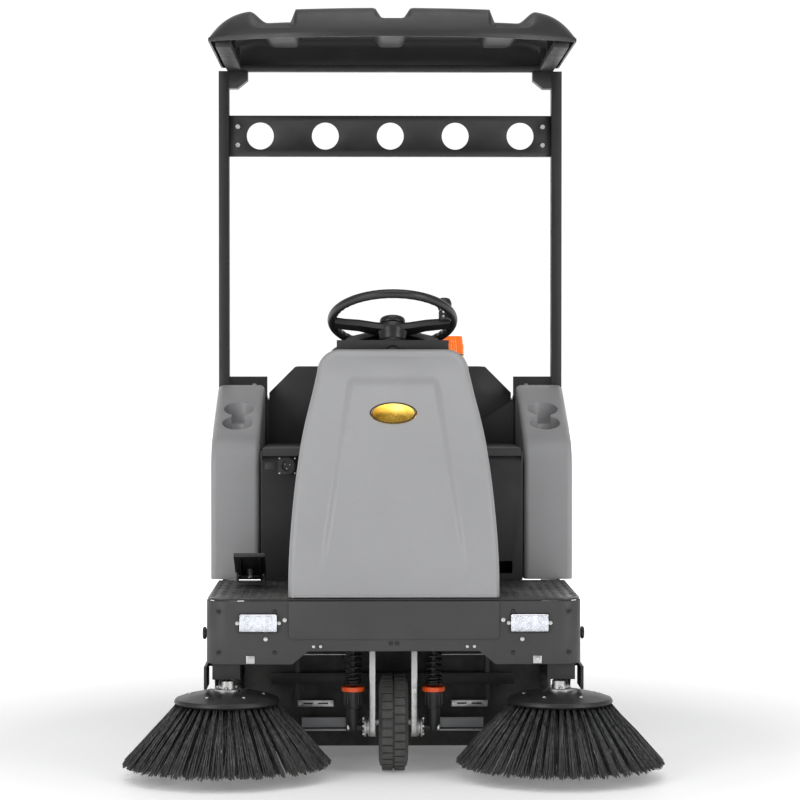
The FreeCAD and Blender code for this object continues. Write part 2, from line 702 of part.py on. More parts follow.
def roller_arms():
    """Swing arms that hang the main brush in its tunnel, with their pivot pins."""
    arms = []
    for side in (1, -1):
        hand = "left" if side > 0 else "right"
        body = new_body("roller_arm_" + hand)
        profile = [("roller_pivot_y - 22", "roller_pivot_z - 14"),
                   ("roller_pivot_y - 8", "roller_pivot_z + 22"),
                   ("roller_pivot_y + 22", "roller_pivot_z + 18"),
                   ("roller_y + 30", "roller_z + 20"), ("roller_y + 26", "roller_z - 26"),
                   ("roller_y - 22", "roller_z - 26")]
        pad(body, outline(body, "YZ_Plane", profile, "344.5" if side > 0 else "-350.5"), "6")
        pin = rod("roller_pin_" + hand, "X", 9, ("roller_pivot_y", "roller_pivot_z"),
                  mirrored(side, 350, 361))
        solid = fuse("roller_arm_solid_" + hand, [body, pin])
        bore = rod("roller_bore_" + hand, "X", "12 + run_gap", ("roller_y", "roller_z"),
                   mirrored(side, 340, 356))
        arms.append(cut("roller_arm_cut_" + hand, solid, [bore]))
    return group("roller_arms", arms)


def main_brush():
    """The roller: a bristle sleeve on end discs, a core tube and its two shaft ends."""
    across = ("roller_y", "roller_z")
    solid = fuse("roller_solid", [rod("roller_bristle", "X", "roller_radius", across,
                                      ("-roller_half", "roller_half")),
                                  rod("roller_core", "X", 60, across, (-341, 341)),
                                  rod("roller_shaft", "X", 12, across, (-351, 351))])
    sleeve = tube("roller_sleeve_space", "X", "roller_radius - 15", 60, across,
                  ("-roller_half + 8", "roller_half - 8"))
    core = rod("roller_core_space", "X", 52, across, (-330, 330))
    return cut("main_brush", solid, [sleeve, core])


# ---- front wheel -------------------------------------------------------------------------------

def steering_fork():
    """Crown with its king pin, and the rods and top seats of the two shocks."""
    parts = [block("crown", (-136, 136), ("fork_y - 42", "fork_y + 42"), ("crown_low", "crown_low + 12")),
             rod("king_pin", "Z", "king_radius", (0, "fork_y"), ("crown_low + 11", 453)),
             rod("king_collar", "Z", 33, (0, "fork_y"), ("crown_low + 11", "rail_low + 4.5"))]
    for side in (1, -1):
        at = ("%d * shock_x" % side, "fork_y")
        parts.append(rod("shock_seat%d" % side, "Z", 23, at, (338, "crown_low + 1")))
        parts.append(rod("shock_rod%d" % side, "Z", 7, at, (236, 339)))
    return fuse("steering_fork", parts)


def shock_springs():
    springs = []
    for side in (1, -1):
        springs.append(tube("spring%d" % side, "Z", 22.5, 17,
                            ("%d * shock_x" % side, "fork_y"), (222, 338)))
    return group("shock_springs", springs)


def axle_carrier():
    """Sliding wheel plates with the axle, and the lower halves of the two shocks."""
    parts = []
    for side in (1, -1):
        at = ("%d * shock_x" % side, "fork_y")
        parts.append(block("fork_leg%d" % side, mirrored(side, "fork_plate_in",
                                                         "fork_plate_in + fork_plate"),
                           ("fork_y - 26", "fork_y + 26"), (88, 330)))
        parts.append(block("shock_link%d" % side, mirrored(side, "fork_plate_in + 2", 120),
                           ("fork_y - 10", "fork_y + 10"), (106, 122)))
        for name, radius, low, high in (("body", 14, 118, 172), ("collar", 25.5, 170, 206),
                                        ("ring", 30, 205, 222)):
            parts.append(rod("shock_%s%d" % (name, side), "Z", radius, at, (low, high)))
    parts.append(rod("front_axle", "X", 10, ("fork_y", "wheel_radius"), (-72, 72)))
    bores = [rod("shock_bore%d" % side, "Z", "7 + run_gap", ("%d * shock_x" % side, "fork_y"),
                 (150, 230)) for side in (1, -1)]
    return cut("axle_carrier", fuse("carrier_solid", parts), bores)


def wheel_body(name, profile):
    """A turned piece about the X axis, from (along the axle, radius) points."""
    body = new_body(name)
    revolve(body, outline(body, "XZ_Plane", profile), "H_Axis")
    return body


def tyre_profile(half, outer, inner):
    shoulder = outer - 0.14 * (outer - inner) - 4
    return [(-half, inner + 8), (-half, shoulder), (-half + 9, outer), (half - 9, outer),
            (half, shoulder), (half, inner + 8), (half - 6, inner), (-half + 6, inner)]


def rim_profile(half, seat, bore):
    return [(-half, seat - 14), (-half, seat), (half, seat), (half, seat - 14), (8, seat - 22),
            (8, 32), (half - 2, 30), (half - 2, bore), (-half + 2, bore), (-half + 2, 30), (-8, 32),
            (-8, seat - 22)]


def front_tyre():
    body = wheel_body("front_tyre", tyre_profile(39, 128, 72))
    return spot(body, "0", "fork_y", "wheel_radius")


def front_rim():
    body = wheel_body("front_rim", rim_profile(34, 72, 10.05))
    return spot(body, "0", "fork_y", "wheel_radius")


def rear_wheel(side):
    hand = "left" if side > 0 else "right"
    tyre = wheel_body("rear_tyre_" + hand, tyre_profile(37, 150, 92))
    rim = wheel_body("rear_rim_" + hand, rim_profile(34, 92, 14.05))
    centre = ("%d * rear_wheel_x" % side, "rear_axle_y", "rear_radius")
    return group("rear_wheel_" + hand, [spot(tyre, *centre), spot(rim, *centre)])


# ---- side brushes ------------------------------------------------------------------------------

def brush_arm(side):
    """Lift arm with its pivot pin, and a guard plate outside the brush."""
    name = "brush_arm_left" if side > 0 else "brush_arm_right"
    parts = [block(name + "_bar", mirrored(side, "brush_x - 30", "brush_x + 26"),
                   ("brush_y - 30", "arm_pivot_y + 16"), ("arm_pivot_z - 6", "arm_pivot_z + 6")),
             rod(name + "_barrel", "X", 16, ("arm_pivot_y", "arm_pivot_z"), mirrored(side, 400, 460)),
             rod(name + "_pin", "X", 9, ("arm_pivot_y", "arm_pivot_z"), mirrored(side, 381, 469)),
             block(name + "_hanger", mirrored(side, "brush_x + 20", "brush_x + 26"),
                   ("brush_y + 46", "brush_y + 70"), (284, "arm_pivot_z")),
             block(name + "_strip", mirrored(side, "brush_x + 20", 488), ("brush_y + 40", "brush_y + 70"),
                   (282, 290)),
             block(name + "_guard", mirrored(side, 482, 489), ("brush_y - 50", "brush_y + 70"),
                   (232, 291))]
    return fuse(name, parts)


def brush_motor(side):
    name = "brush_motor_left" if side > 0 else "brush_motor_right"
    centre = ("%d * brush_x" % side, "brush_y")
    return fuse(name, [rod(name + "_can", "Z", 36, centre, ("arm_pivot_z + 6", 430)),
                       block(name + "_gearbox", ("%s - 36" % centre[0], "%s + 36" % centre[0]),
                             ("brush_y - 38", "brush_y + 38"), (256, "arm_pivot_z - 6")),
                       rod(name + "_shaft", "Z", 10, centre, (226, 258))])


def brush_disc(side):
    """The brush's domed disc and the zinc drive flange on top of it."""
    name = "brush_disc_left" if side > 0 else "brush_disc_right"
    body = new_body(name + "_turned")
    profile = [(10.06, "disc_low"), ("disc_radius - 4", "disc_low"), ("disc_radius", "disc_low + 6"),
               ("disc_radius - 6", "disc_low + 18"), (70, "disc_low + 32"), (34, "disc_low + 33"),
               (34, "disc_low + 50"), (26, "disc_low + 60"), (10.06, "disc_low + 60")]
    revolve(body, outline(body, "XZ_Plane", profile), "V_Axis")
    spot(body, "%d * brush_x" % side, "brush_y", "0")
    body.Label = name
    return body


def side_bristles(side):
    """The flared bristle skirt under the disc, hollow inside."""
    name = "side_bristles_left" if side > 0 else "side_bristles_right"
    body = new_body(name)
    profile = [(92, "disc_low"), ("disc_radius - 5", "disc_low"), ("bristle_reach", "bristle_low + 4"),
               ("bristle_reach - 4", "bristle_low"), ("bristle_reach - 50", "bristle_low")]
    revolve(body, outline(body, "XZ_Plane", profile), "V_Axis")
    return spot(body, "%d * brush_x" % side, "brush_y", "0")


# ---- steering wheel ----------------------------------------------------------------------------

def steering_wing(side):
    """A spoke from the hub to the ring, half way between the rear and the side."""
    body = new_body("steer_wing_left" if side > 0 else "steer_wing_right")
    lean = math.sqrt(0.5)
    corners = [(20, 18), (157, 22), (157, -22), (20, -18)]
    points = [("%.4f" % (side * lean * (reach - wide)), "%.4f" % (lean * (reach + wide)))
              for reach, wide in corners]
    pad(body, outline(body, "XY_Plane", points, "-24"), "16")
    return body


def steering_wheel():
    ring = doc.addObject("Part::Torus", "steer_rim")
    bind(ring, "Radius1", "steer_ring")
    bind(ring, "Radius2", "steer_tube")
    knob = ("knob_x", "knob_y")
    parts = [ring, rod("steer_hub", "Z", 36, (0, 0), (-64, -18)),
             block("steer_spoke", ("-steer_ring + 4", "steer_ring - 4"), (-24, 14), (-24, -8)),
             block("knob_clamp", ("knob_x - 15", "knob_x + 18"), ("knob_y - 15", "knob_y + 15"),
                   (-15.5, 15.5)), steering_wing(1), steering_wing(-1)]
    bores = [rod("steer_bore", "Z", "10 + run_gap", (0, 0), (-68, -22)),
             rod("cap_room", "Z", 37, (0, 0), (-18, 10)),
             rod("knob_bore", "Z", "4 + run_gap", knob, (0, 20))]
    return on_steering_line(cut("steering_wheel", fuse("steer_solid", parts), bores))


def spinner_knob():
    at = ("knob_x", "knob_y")
    return on_steering_line(fuse("spinner_knob", [rod("knob_pin", "Z", 4, at, (2, 24)),
                                                  rod("knob_grip", "Z", 20, at, (16, 52))]))


def horn_button():
    return on_steering_line(fuse("horn_button", [rod("horn_cap", "Z", 34, (0, 0), (-14, -2)),
                                                 rod("horn_crown", "Z", 26, (0, 0), (-3, 3))]))


# ---- seat --------------------------------------------------------------------------------------

def seat_lid():
    """The battery lid with its front hinge barrel and the two seat rails."""
    parts = [block("lid_panel", ("-box_half + 6", "box_half - 6"), ("box_front - 20", "box_back + 2"),
                   ("box_top + 1", "lid_top"))]
    for low in (-140, 110):
        parts.append(block("seat_rail%d" % low, (low, low + 30), (-20, 330), ("lid_top - 1", 850)))
    parts.append(rod("hinge_pin", "X", 4, ("lid_hinge_y", "lid_hinge_z"), ("-box_half", "box_half")))
    return fuse("seat_lid", parts)


def seat_pan():
    """The seat's pan with the upright that carries the backrest."""
    return fuse("seat_pan", [block("pan_base", (-180, 180), (30, 345), (850.5, 868)),
                             block("pan_upright", (-150, 150), (352, 362), (850.5, 1060)),
                             block("pan_foot", (-150, 150), (340, 362), (850.5, 862))])


def cushion(name, span_x, span_y, span_z, radius):
    body = new_body(name)
    pad(body, outline(body, "XY_Plane", rectangle(span_x[0], span_x[1], span_y[0], span_y[1]),
                      span_z[0]), less(span_z[1], span_z[0]))
    rounded(body, radius, lambda edge: True)
    return body


def seat_cushion():
    return cushion("seat_cushion", ("-seat_half", "seat_half"), ("seat_front", "seat_back - 50"),
                   ("868", "958"), "26")


def seat_backrest():
    return cushion("seat_backrest", ("-seat_half + 4", "seat_half - 4"), ("seat_back - 48", "351"),
                   ("900", "1126"), "24")


# ---- pedals and switches -----------------------------------------------------------------------

def pedal(name, centre):
    """A tread pad on a lever that turns about a pin near the heel."""
    lever = block(name + "_lever", (centre - 30, centre + 30), (-155, -150),
                  ("deck_top + 12", "deck_top + 28"))
    barrel = rod(name + "_barrel", "X", 9, (-155, "deck_top + 20"), (centre - 33, centre + 33))
    pin = rod(name + "_pin", "X", 5, (-155, "deck_top + 20"), (centre - 40, centre + 40))
    body = new_body(name + "_pad")
    points = [(-150, "deck_top + 16"), (-150, "deck_top + 28"), (-268, "deck_top + 92"),
              (-274, "deck_top + 82")]
    pad(body, outline(body, "YZ_Plane", points, "%g" % (centre - 42)), "84")
    slot_low = block(name + "_relief_a", (centre - 43, centre - 33), (-180, -130), (460, 510))
    slot_high = block(name + "_relief_b", (centre + 33, centre + 43), (-180, -130), (460, 510))
    trimmed = cut(name + "_trimmed", body, [slot_low, slot_high])
    return fuse(name, [lever, barrel, pin, trimmed])


def key_switch():
    return fuse("key_switch", [rod("key_barrel", "Y", 9, (-95, 1060), (-179.5, -173)),
                               block("key_bow", (-97, -93), (-174, -149), (1049, 1071))])


def stop_button():
    return fuse("stop_button", [rod("stop_stem", "Y", 8, (95, 1060), (-174, -163)),
                                rod("stop_cap", "Y", 20, (95, 1060), (-165, -151))])


def direction_switch():
    return fuse("direction_switch", [block("rocker", (-12, 12), (-176, -168), (1042, 1078)),
                                     rod("rocker_pin", "X", 2, (-174, 1060), (-13, 13))])


def frame_bolts():
    """Zinc screws on the bumper and hexagon bolts on the crossbar's ends."""
    bolts = []
    for side in (1, -1):
        for across, up in ((188, 346), (206, 346), (280, 414), (329, 365), (368, 312)):
            bolts.append(rod("bumper_bolt%d_%d_%d" % (side, across, up), "Y", 6.5,
                             (side * across, up), ("front_y - 5", "front_y")))
        for up in (1710, 1764):
            bolts.append(rod("bar_bolt%d_%d" % (side, up), "Y", 8, (side * 448, up), (376, 383)))
        bolts.append(rod("foot_bolt%d" % side, "Y", 9, (side * 400, 1002),
                         ("post_front + 13", "post_front + 21")))
    return group("frame_bolts", bolts)


def both(make):
    return [make(1), make(-1)]


def build_all():
    """Every sub-part, under the name of its node."""
    made = {piece.Name: piece for piece in (
        main_frame(), front_bumper(), fascia_plate(), deck_plate(), front_cowl(), cowl_badge(),
        dash_console(), console_panel(),
        battery_box(), batteries(), charge_socket(), rear_cover(), dust_filter(), vacuum_fan(),
        side_panels(), roof_posts(), roof_crossbar(), roof_rails(), roof_canopy(), work_lamps(),
        lamp_lenses(), beacon_base(), beacon_lens(), brush_tunnel(), rubber_skirts(), dust_hopper(),
        rear_axle(), roller_arms(), main_brush(), steering_fork(), shock_springs(), axle_carrier(),
        front_tyre(), front_rim(), steering_wheel(), spinner_knob(), horn_button(), seat_lid(),
        seat_pan(), seat_cushion(), seat_backrest(), key_switch(), stop_button(),
        direction_switch(), frame_bolts(),
        *both(side_cover), *both(rear_wheel), *both(brush_arm), *both(brush_motor),
        *both(side_bristles))}
    made["steering_column"] = steering_column()
    made["brush_disc_left"] = brush_disc(1)
    made["brush_disc_right"] = brush_disc(-1)
    made["accelerator_pedal"] = pedal("accelerator_pedal", -386)
    return made


def check(made):
    for item in doc.Objects:
        if "Invalid" in item.State or "Error" in item.State:
            raise RuntimeError("%s failed to build" % item.Name)
    for node, piece in made.items():
        if piece.Shape.isNull() or not piece.Shape.isValid():
            raise RuntimeError("%s has no valid shape" % node)


def write(made):
    os.makedirs("parts", exist_ok=True)
    for node, piece in made.items():
        piece.Label = node
        piece.Shape.exportStep("parts/%s.step" % node)
    print("%d nodes written" % len(made))


fill_sheet()
nodes = build_all()
doc.recompute()
check(nodes)
write(nodes)
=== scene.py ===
"""Looks for the ride-on sweeper: camera, light, procedural materials and the detailed visible pieces.

Metres, in the CAD model's own frame: +Z up, the front faces -Y, +X is the driver's left.
"""
import json
import math
import random

import bmesh
import bpy
import numpy as np
from mathutils import Matrix, Vector


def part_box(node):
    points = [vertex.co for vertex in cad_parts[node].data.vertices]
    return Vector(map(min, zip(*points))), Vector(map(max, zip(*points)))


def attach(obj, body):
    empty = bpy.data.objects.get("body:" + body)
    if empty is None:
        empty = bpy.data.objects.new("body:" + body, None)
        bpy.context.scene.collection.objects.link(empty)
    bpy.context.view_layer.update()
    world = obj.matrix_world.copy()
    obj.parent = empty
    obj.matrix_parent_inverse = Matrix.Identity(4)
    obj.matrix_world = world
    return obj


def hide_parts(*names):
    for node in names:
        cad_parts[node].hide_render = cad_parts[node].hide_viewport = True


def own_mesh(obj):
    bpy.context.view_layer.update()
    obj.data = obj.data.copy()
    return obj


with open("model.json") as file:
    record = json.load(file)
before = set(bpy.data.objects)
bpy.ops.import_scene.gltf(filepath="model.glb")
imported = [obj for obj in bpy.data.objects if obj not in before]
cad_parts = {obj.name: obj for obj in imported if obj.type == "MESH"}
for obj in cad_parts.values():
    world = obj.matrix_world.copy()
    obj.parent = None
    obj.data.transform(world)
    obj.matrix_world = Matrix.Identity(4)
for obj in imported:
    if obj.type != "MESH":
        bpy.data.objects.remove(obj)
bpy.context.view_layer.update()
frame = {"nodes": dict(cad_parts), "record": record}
NODES = frame["nodes"]
SLOT_OF = {part["node"]: part["material_slot"] for part in frame["record"]["subparts"]}
BODY_OF = {node: body for body, members in frame["record"]["behaviour"]["bodies"].items()
           for node in members}
MM = 0.001
UP = Vector((0, 0, 1))
FORWARD = (0, -1, 0)
BUMPER_Y = -0.600
FRONT_AXLE_Y = -0.425
SHOCK_X = 0.106


# ---- materials ---------------------------------------------------------------------------------

class Shader:
    """One procedural material, built round a Principled shader."""

    def __init__(self, name, rough=0.5, metal=0.0):
        self.mat = bpy.data.materials.new(name)
        self.mat.use_nodes = True
        self.tree = self.mat.node_tree
        self.bsdf = self.tree.nodes["Principled BSDF"]
        self.surface(Roughness=rough, Metallic=metal)
        self.coords = self.add("ShaderNodeTexCoord").outputs["Object"]
        self.normal = None

    def add(self, kind, sockets=None, **settings):
        """A new node, with the values of its unlinked sockets and its other settings."""
        node = self.tree.nodes.new(kind)
        for key, value in settings.items():
            setattr(node, key, value)
        for key, value in (sockets or {}).items():
            node.inputs[key].default_value = value
        return node

    def surface(self, **sockets):
        """Set sockets of the Principled shader, with _ for a space in the name."""
        for key, value in sockets.items():
            self.bsdf.inputs[key.replace("_", " ")].default_value = value

    def link(self, source, target):
        self.tree.links.new(source, target)

    def noise(self, scale, detail=4.0, rough=0.5, stretch=(1, 1, 1)):
        """Cloudy noise in the object's own space, stretched where asked."""
        node = self.add("ShaderNodeTexNoise",
                        {"Scale": scale, "Detail": detail, "Roughness": rough})
        mapping = self.add("ShaderNodeMapping", {"Scale": stretch})
        self.link(self.coords, mapping.inputs["Vector"])
        self.link(mapping.outputs["Vector"], node.inputs["Vector"])
        return node.outputs["Fac"]

    def cells(self, scale, feature="F1"):
        """Distance to the nearest of scattered points, for grain."""
        node = self.add("ShaderNodeTexVoronoi", {"Scale": scale}, feature=feature)
        self.link(self.coords, node.inputs["Vector"])
        return node.outputs["Distance"]

    def ramp(self, factor, stops):
        """Colours at places between 0 and 1, blended in between."""
        node = self.add("ShaderNodeValToRGB")
        ends = node.color_ramp.elements
        ends[0].position, ends[0].color = stops[0][0], (*stops[0][1], 1)
        ends[1].position, ends[1].color = stops[-1][0], (*stops[-1][1], 1)
        for place, colour in stops[1:-1]:
            ends.new(place).color = (*colour, 1)
        self.link(factor, node.inputs["Fac"])
        return node.outputs["Color"]

    def spread(self, factor, low, high, from_low=0.3, from_high=0.7):
        """Stretch the middle of a factor to another range."""
        node = self.add("ShaderNodeMapRange", {"From Min": from_low, "From Max": from_high,
                                               "To Min": low, "To Max": high})
        self.link(factor, node.inputs["Value"])
        return node.outputs["Result"]

    def blend(self, factor, first, second):
        node = self.add("ShaderNodeMix", data_type="RGBA")
        self.link(factor, node.inputs["Factor"])
        self.link(first, node.inputs["A"])
        self.link(second, node.inputs["B"])
        return node.outputs["Result"]

    def colour(self, source):
        self.link(source, self.bsdf.inputs["Base Color"])

    def rough(self, source):
        self.link(source, self.bsdf.inputs["Roughness"])

    def bump(self, height, strength, depth):
        node = self.add("ShaderNodeBump", {"Strength": strength, "Distance": depth})
        self.link(height, node.inputs["Height"])
        if self.normal:
            self.link(self.normal, node.inputs["Normal"])
        self.normal = node.outputs["Normal"]
        self.link(self.normal, self.bsdf.inputs["Normal"])

    def facing_up(self, low=0.2, high=0.95):
        """0 on sides and undersides, 1 on faces that look up, where dust settles."""
        normal = self.add("ShaderNodeNewGeometry").outputs["Normal"]
        split = self.add("ShaderNodeSeparateXYZ")
        self.link(normal, split.inputs["Vector"])
        return self.spread(split.outputs["Z"], 0.0, 1.0, low, high)

    def near_floor(self, low=0.02, high=0.35):
        """1 close to the floor, fading to 0, for road dust."""
        split = self.add("ShaderNodeSeparateXYZ")
        self.link(self.coords, split.inputs["Vector"])
        return self.spread(split.outputs["Z"], 1.0, 0.0, low, high)

    def times(self, first, second):
        node = self.add("ShaderNodeMath", operation="MULTIPLY")
        self.link(first, node.inputs[0])
        self.link(second, node.inputs[1])
        return node.outputs["Value"]


def shade(colour, factor):
    """A colour made lighter or darker."""
    return tuple(min(1.0, channel * factor) for channel in colour)


def dusty(shader, base, dust, amount, mask):
    """Lay patchy dust over a base colour where the mask says."""
    patches = shader.spread(shader.noise(9.0, 6.0, 0.65), 0.0, amount, 0.38, 0.68)
    rgb = shader.ramp(shader.noise(60.0, 3.0), [(0.3, shade(dust, 0.85)), (0.7, dust)])
    return shader.blend(shader.times(patches, mask), base, rgb)


def painted(name, colour, rough=0.42, grain=900.0, grain_depth=0.00012, dust=0.25):
    """Textured powder coat: fine pebbled bump, slight colour drift and settled dust."""
    shader = Shader(name, rough)
    drift = shader.ramp(shader.noise(3.5, 5.0, 0.6), [(0.3, shade(colour, 0.86)),
                                                      (0.55, colour), (0.75, shade(colour, 1.16))])
    shader.colour(dusty(shader, drift, (0.20, 0.19, 0.17), dust, shader.facing_up()))
    shader.rough(shader.spread(shader.noise(22.0, 5.0), rough - 0.07, rough + 0.10))
    shader.bump(shader.noise(grain, 2.0), 0.35, grain_depth)
    return shader.mat


def moulded(name, colour, rough=0.46, grain=1300.0, depth=0.00009, dust=0.12):
    """Rotational or injection moulding: leathery micro grain and soft flow variation."""
    shader = Shader(name, rough)
    flow = shader.ramp(shader.noise(2.2, 4.0, 0.55), [(0.28, shade(colour, 0.93)),
                                                      (0.5, colour), (0.74, shade(colour, 1.06))])
    specks = shader.ramp(shader.noise(420.0, 2.0), [(0.35, shade(colour, 0.90)), (0.62, colour)])
    mottled = shader.blend(shader.spread(shader.noise(35.0, 3.0), 0.15, 0.55), flow, specks)
    shader.colour(dusty(shader, mottled, (0.34, 0.33, 0.31), dust, shader.facing_up(0.35, 1.0)))
    shader.rough(shader.spread(shader.noise(14.0, 5.0), rough - 0.06, rough + 0.08))
    shader.bump(shader.cells(grain), 0.30, depth)
    shader.bump(shader.noise(grain * 0.35, 3.0), 0.20, depth)
    return shader.mat


def plated(name, colour=(0.56, 0.56, 0.55), rough=0.33):
    """Bright zinc: faint crystalline mottling and fine scratches."""
    shader = Shader(name, rough, 1.0)
    spangle = shader.ramp(shader.cells(260.0), [(0.0, shade(colour, 0.94)),
                                                (0.5, shade(colour, 1.05))])
    tarnish = shader.ramp(shader.noise(30.0, 4.0), [(0.35, shade(colour, 0.84)), (0.6, colour)])
    shader.colour(shader.blend(shader.spread(shader.noise(8.0, 4.0), 0.1, 0.7), spangle, tarnish))
    shader.rough(shader.spread(shader.noise(90.0, 4.0, 0.6), rough - 0.08, rough + 0.16))
    shader.bump(shader.noise(700.0, 2.0, 0.5, (1, 1, 0.08)), 0.15, 0.00005)
    return shader.mat


def rubber(name, colour, rough=0.62, dust=0.35, reach=0.35):
    """Rubber with a chalky bloom, greyer towards the floor."""
    shader = Shader(name, rough)
    bloom = shader.ramp(shader.noise(26.0, 6.0, 0.65), [(0.32, shade(colour, 0.8)),
                                                        (0.7, shade(colour, 1.5))])
    shader.colour(dusty(shader, bloom, (0.17, 0.16, 0.145), dust, shader.near_floor(0.0, reach)))
    shader.rough(shader.spread(shader.noise(40.0, 4.0), rough - 0.08, rough + 0.14))
    shader.bump(shader.noise(1100.0, 2.0), 0.3, 0.0001)
    return shader.mat


def bristle_fibre(name):
    """Stiff nylon strands: satin along their length, dusty at the tips."""
    shader = Shader(name, 0.4)
    tone = shader.ramp(shader.noise(150.0, 3.0, 0.6, (1, 1, 0.25)),
                       [(0.3, (0.007, 0.007, 0.0075)), (0.7, (0.105, 0.105, 0.108))])
    shader.colour(dusty(shader, tone, (0.10, 0.095, 0.085), 0.5, shader.near_floor(0.02, 0.14)))
    shader.rough(shader.spread(shader.noise(60.0, 3.0), 0.30, 0.5))
    shader.bump(shader.noise(1600.0, 2.0, 0.5, (1, 1, 0.1)), 0.3, 0.00012)
    return shader.mat


def vinyl(name):
    """Seat vinyl: pebbled leather grain with faint creases."""
    shader = Shader(name, 0.48)
    tone = shader.ramp(shader.noise(12.0, 4.0), [(0.3, (0.013, 0.013, 0.014)),
                                                 (0.7, (0.028, 0.028, 0.030))])
    shader.colour(dusty(shader, tone, (0.16, 0.155, 0.145), 0.16, shader.facing_up(0.3, 1.0)))
    shader.rough(shader.spread(shader.noise(30.0, 4.0), 0.40, 0.58))
    shader.bump(shader.cells(520.0, "SMOOTH_F1"), 0.45, 0.00035)
    shader.bump(shader.noise(45.0, 5.0, 0.6), 0.18, 0.0006)
    shader.surface(Sheen_Weight=0.15)
    return shader.mat


def gold(name):
    """Polished gold plate with a soft drift of tone."""
    shader = Shader(name, 0.2, 1.0)
    shader.colour(shader.ramp(shader.noise(9.0, 2.0, 0.4, (1, 0.3, 2.0)),
                              [(0.3, (0.42, 0.22, 0.025)), (0.5, (0.80, 0.50, 0.08)),
                               (0.7, (1.0, 0.80, 0.30))]))
    shader.rough(shader.spread(shader.noise(120.0, 3.0), 0.14, 0.3))
    shader.bump(shader.noise(300.0, 2.0), 0.05, 0.0001)
    return shader.mat


def clear(name, colour, rough=0.08, weight=0.9, glow=0.0):
    """A clear or tinted lens moulding."""
    shader = Shader(name, rough)
    shader.colour(shader.ramp(shader.noise(25.0, 3.0), [(0.3, shade(colour, 0.92)), (0.7, colour)]))
    shader.rough(shader.spread(shader.noise(70.0, 3.0), rough, rough + 0.08))
    shader.surface(Transmission_Weight=weight, IOR=1.45, Emission_Color=(*colour, 1),
                   Emission_Strength=glow)
    shader.bump(shader.noise(160.0, 2.0), 0.08, 0.0003)
    return shader.mat


def paper(name):
    """Uncoated filter paper."""
    shader = Shader(name, 0.85)
    shader.colour(shader.ramp(shader.noise(60.0, 5.0), [(0.3, (0.52, 0.48, 0.38)),
                                                        (0.7, (0.75, 0.72, 0.62))]))
    shader.bump(shader.noise(900.0, 3.0), 0.5, 0.0003)
    return shader.mat


FINISHES = {
    "frame_steel": (painted, (0.012, 0.012, 0.013), 0.45),
    "bumper_paint": (painted, (0.036, 0.036, 0.037), 0.50, 1000.0, 0.0001, 0.08),
    "tread_plate": (painted, (0.016, 0.016, 0.017), 0.38, 700.0, 0.00015, 0.35),
    "body_grey": (moulded, (0.288, 0.289, 0.293), 0.44, 1100.0, 0.0001, 0.05),
    "body_black": (painted, (0.017, 0.017, 0.018), 0.48, 900.0, 0.00012, 0.12),
    "black_plastic": (moulded, (0.015, 0.015, 0.016), 0.42, 900.0, 0.00014, 0.10),
    "soft_black": (moulded, (0.009, 0.009, 0.0095), 0.36, 1500.0, 0.00007, 0.05),
    "zinc": (plated,),
    "badge_gold": (gold,),
    "lamp_silver": (plated, (0.86, 0.87, 0.89), 0.16),
    "lamp_clear": (clear, (0.96, 0.97, 1.0)),
    "amber": (clear, (1.0, 0.19, 0.005), 0.14, 0.10, 0.25),
    "tyre_rubber": (rubber, (0.036, 0.036, 0.035)),
    "flap_rubber": (rubber, (0.013, 0.013, 0.013), 0.55, 0.45),
    "wheel_rim": (painted, (0.42, 0.43, 0.44), 0.34, 800.0, 0.00006, 0.2),
    "bristle": (bristle_fibre,),
    "spring_steel": (painted, (0.010, 0.010, 0.010), 0.30, 600.0, 0.00005, 0.1),
    "vinyl": (vinyl,),
    "filter_paper": (paper,),
    "battery_case": (moulded, (0.05, 0.05, 0.06), 0.3),
    "red_plastic": (moulded, (0.60, 0.015, 0.012), 0.25, 900.0, 0.00004, 0.05),
}
MATERIALS = {slot: build("finish_" + slot, *values)
             for slot, (build, *values) in FINISHES.items()}
RING_ORANGE = moulded("finish_ring_orange", (0.85, 0.10, 0.012), 0.35, 900.0, 0.00004, 0.05)
COLLAR_BLACK = moulded("finish_collar_grey", (0.020, 0.021, 0.022), 0.4, 900.0, 0.00006, 0.1)

for node, piece in NODES.items():
    piece.data.materials.clear()
    piece.data.materials.append(MATERIALS[SLOT_OF[node]])


# ---- mesh tools --------------------------------------------------------------------------------

def link_mesh(name, verts, faces, slot, smooth=True):
    """A new object in the scene from points and faces, with the finish of a material slot."""
    mesh = bpy.data.meshes.new(name)
    mesh.from_pydata([tuple(v) for v in verts], [], faces)
    mesh.validate()
    piece = bpy.data.objects.new(name, mesh)
    bpy.context.scene.collection.objects.link(piece)
    mesh.materials.append(MATERIALS[slot])
    for polygon in mesh.polygons:
        polygon.use_smooth = smooth
    return piece


def settle(piece):
    """Apply every modifier, so that the mesh is final."""
    bpy.context.view_layer.update()
    graph = bpy.context.evaluated_depsgraph_get()
    mesh = bpy.data.meshes.new_from_object(piece.evaluated_get(graph))
    piece.modifiers.clear()
    piece.data = mesh
    return piece


def mended(piece, merge=0.0):
    """Weld points closer than a distance, if one is given, and turn every face outwards."""
    form = bmesh.new()
    form.from_mesh(piece.data)
    if merge:
        bmesh.ops.remove_doubles(form, verts=form.verts, dist=merge)
    bmesh.ops.recalc_face_normals(form, faces=form.faces)
    form.to_mesh(piece.data)
    form.free()
    return piece


def sharpen(piece, degrees=35.0):
    """Smooth shading that breaks at edges sharper than the angle."""
    mesh = piece.data
    for polygon in mesh.polygons:
        polygon.use_smooth = True
    form = bmesh.new()
    form.from_mesh(mesh)
    limit = math.radians(degrees)
    for edge in form.edges:
        if len(edge.link_faces) == 2:
            edge.smooth = edge.calc_face_angle(0.0) < limit
    form.to_mesh(mesh)
    form.free()
    return piece


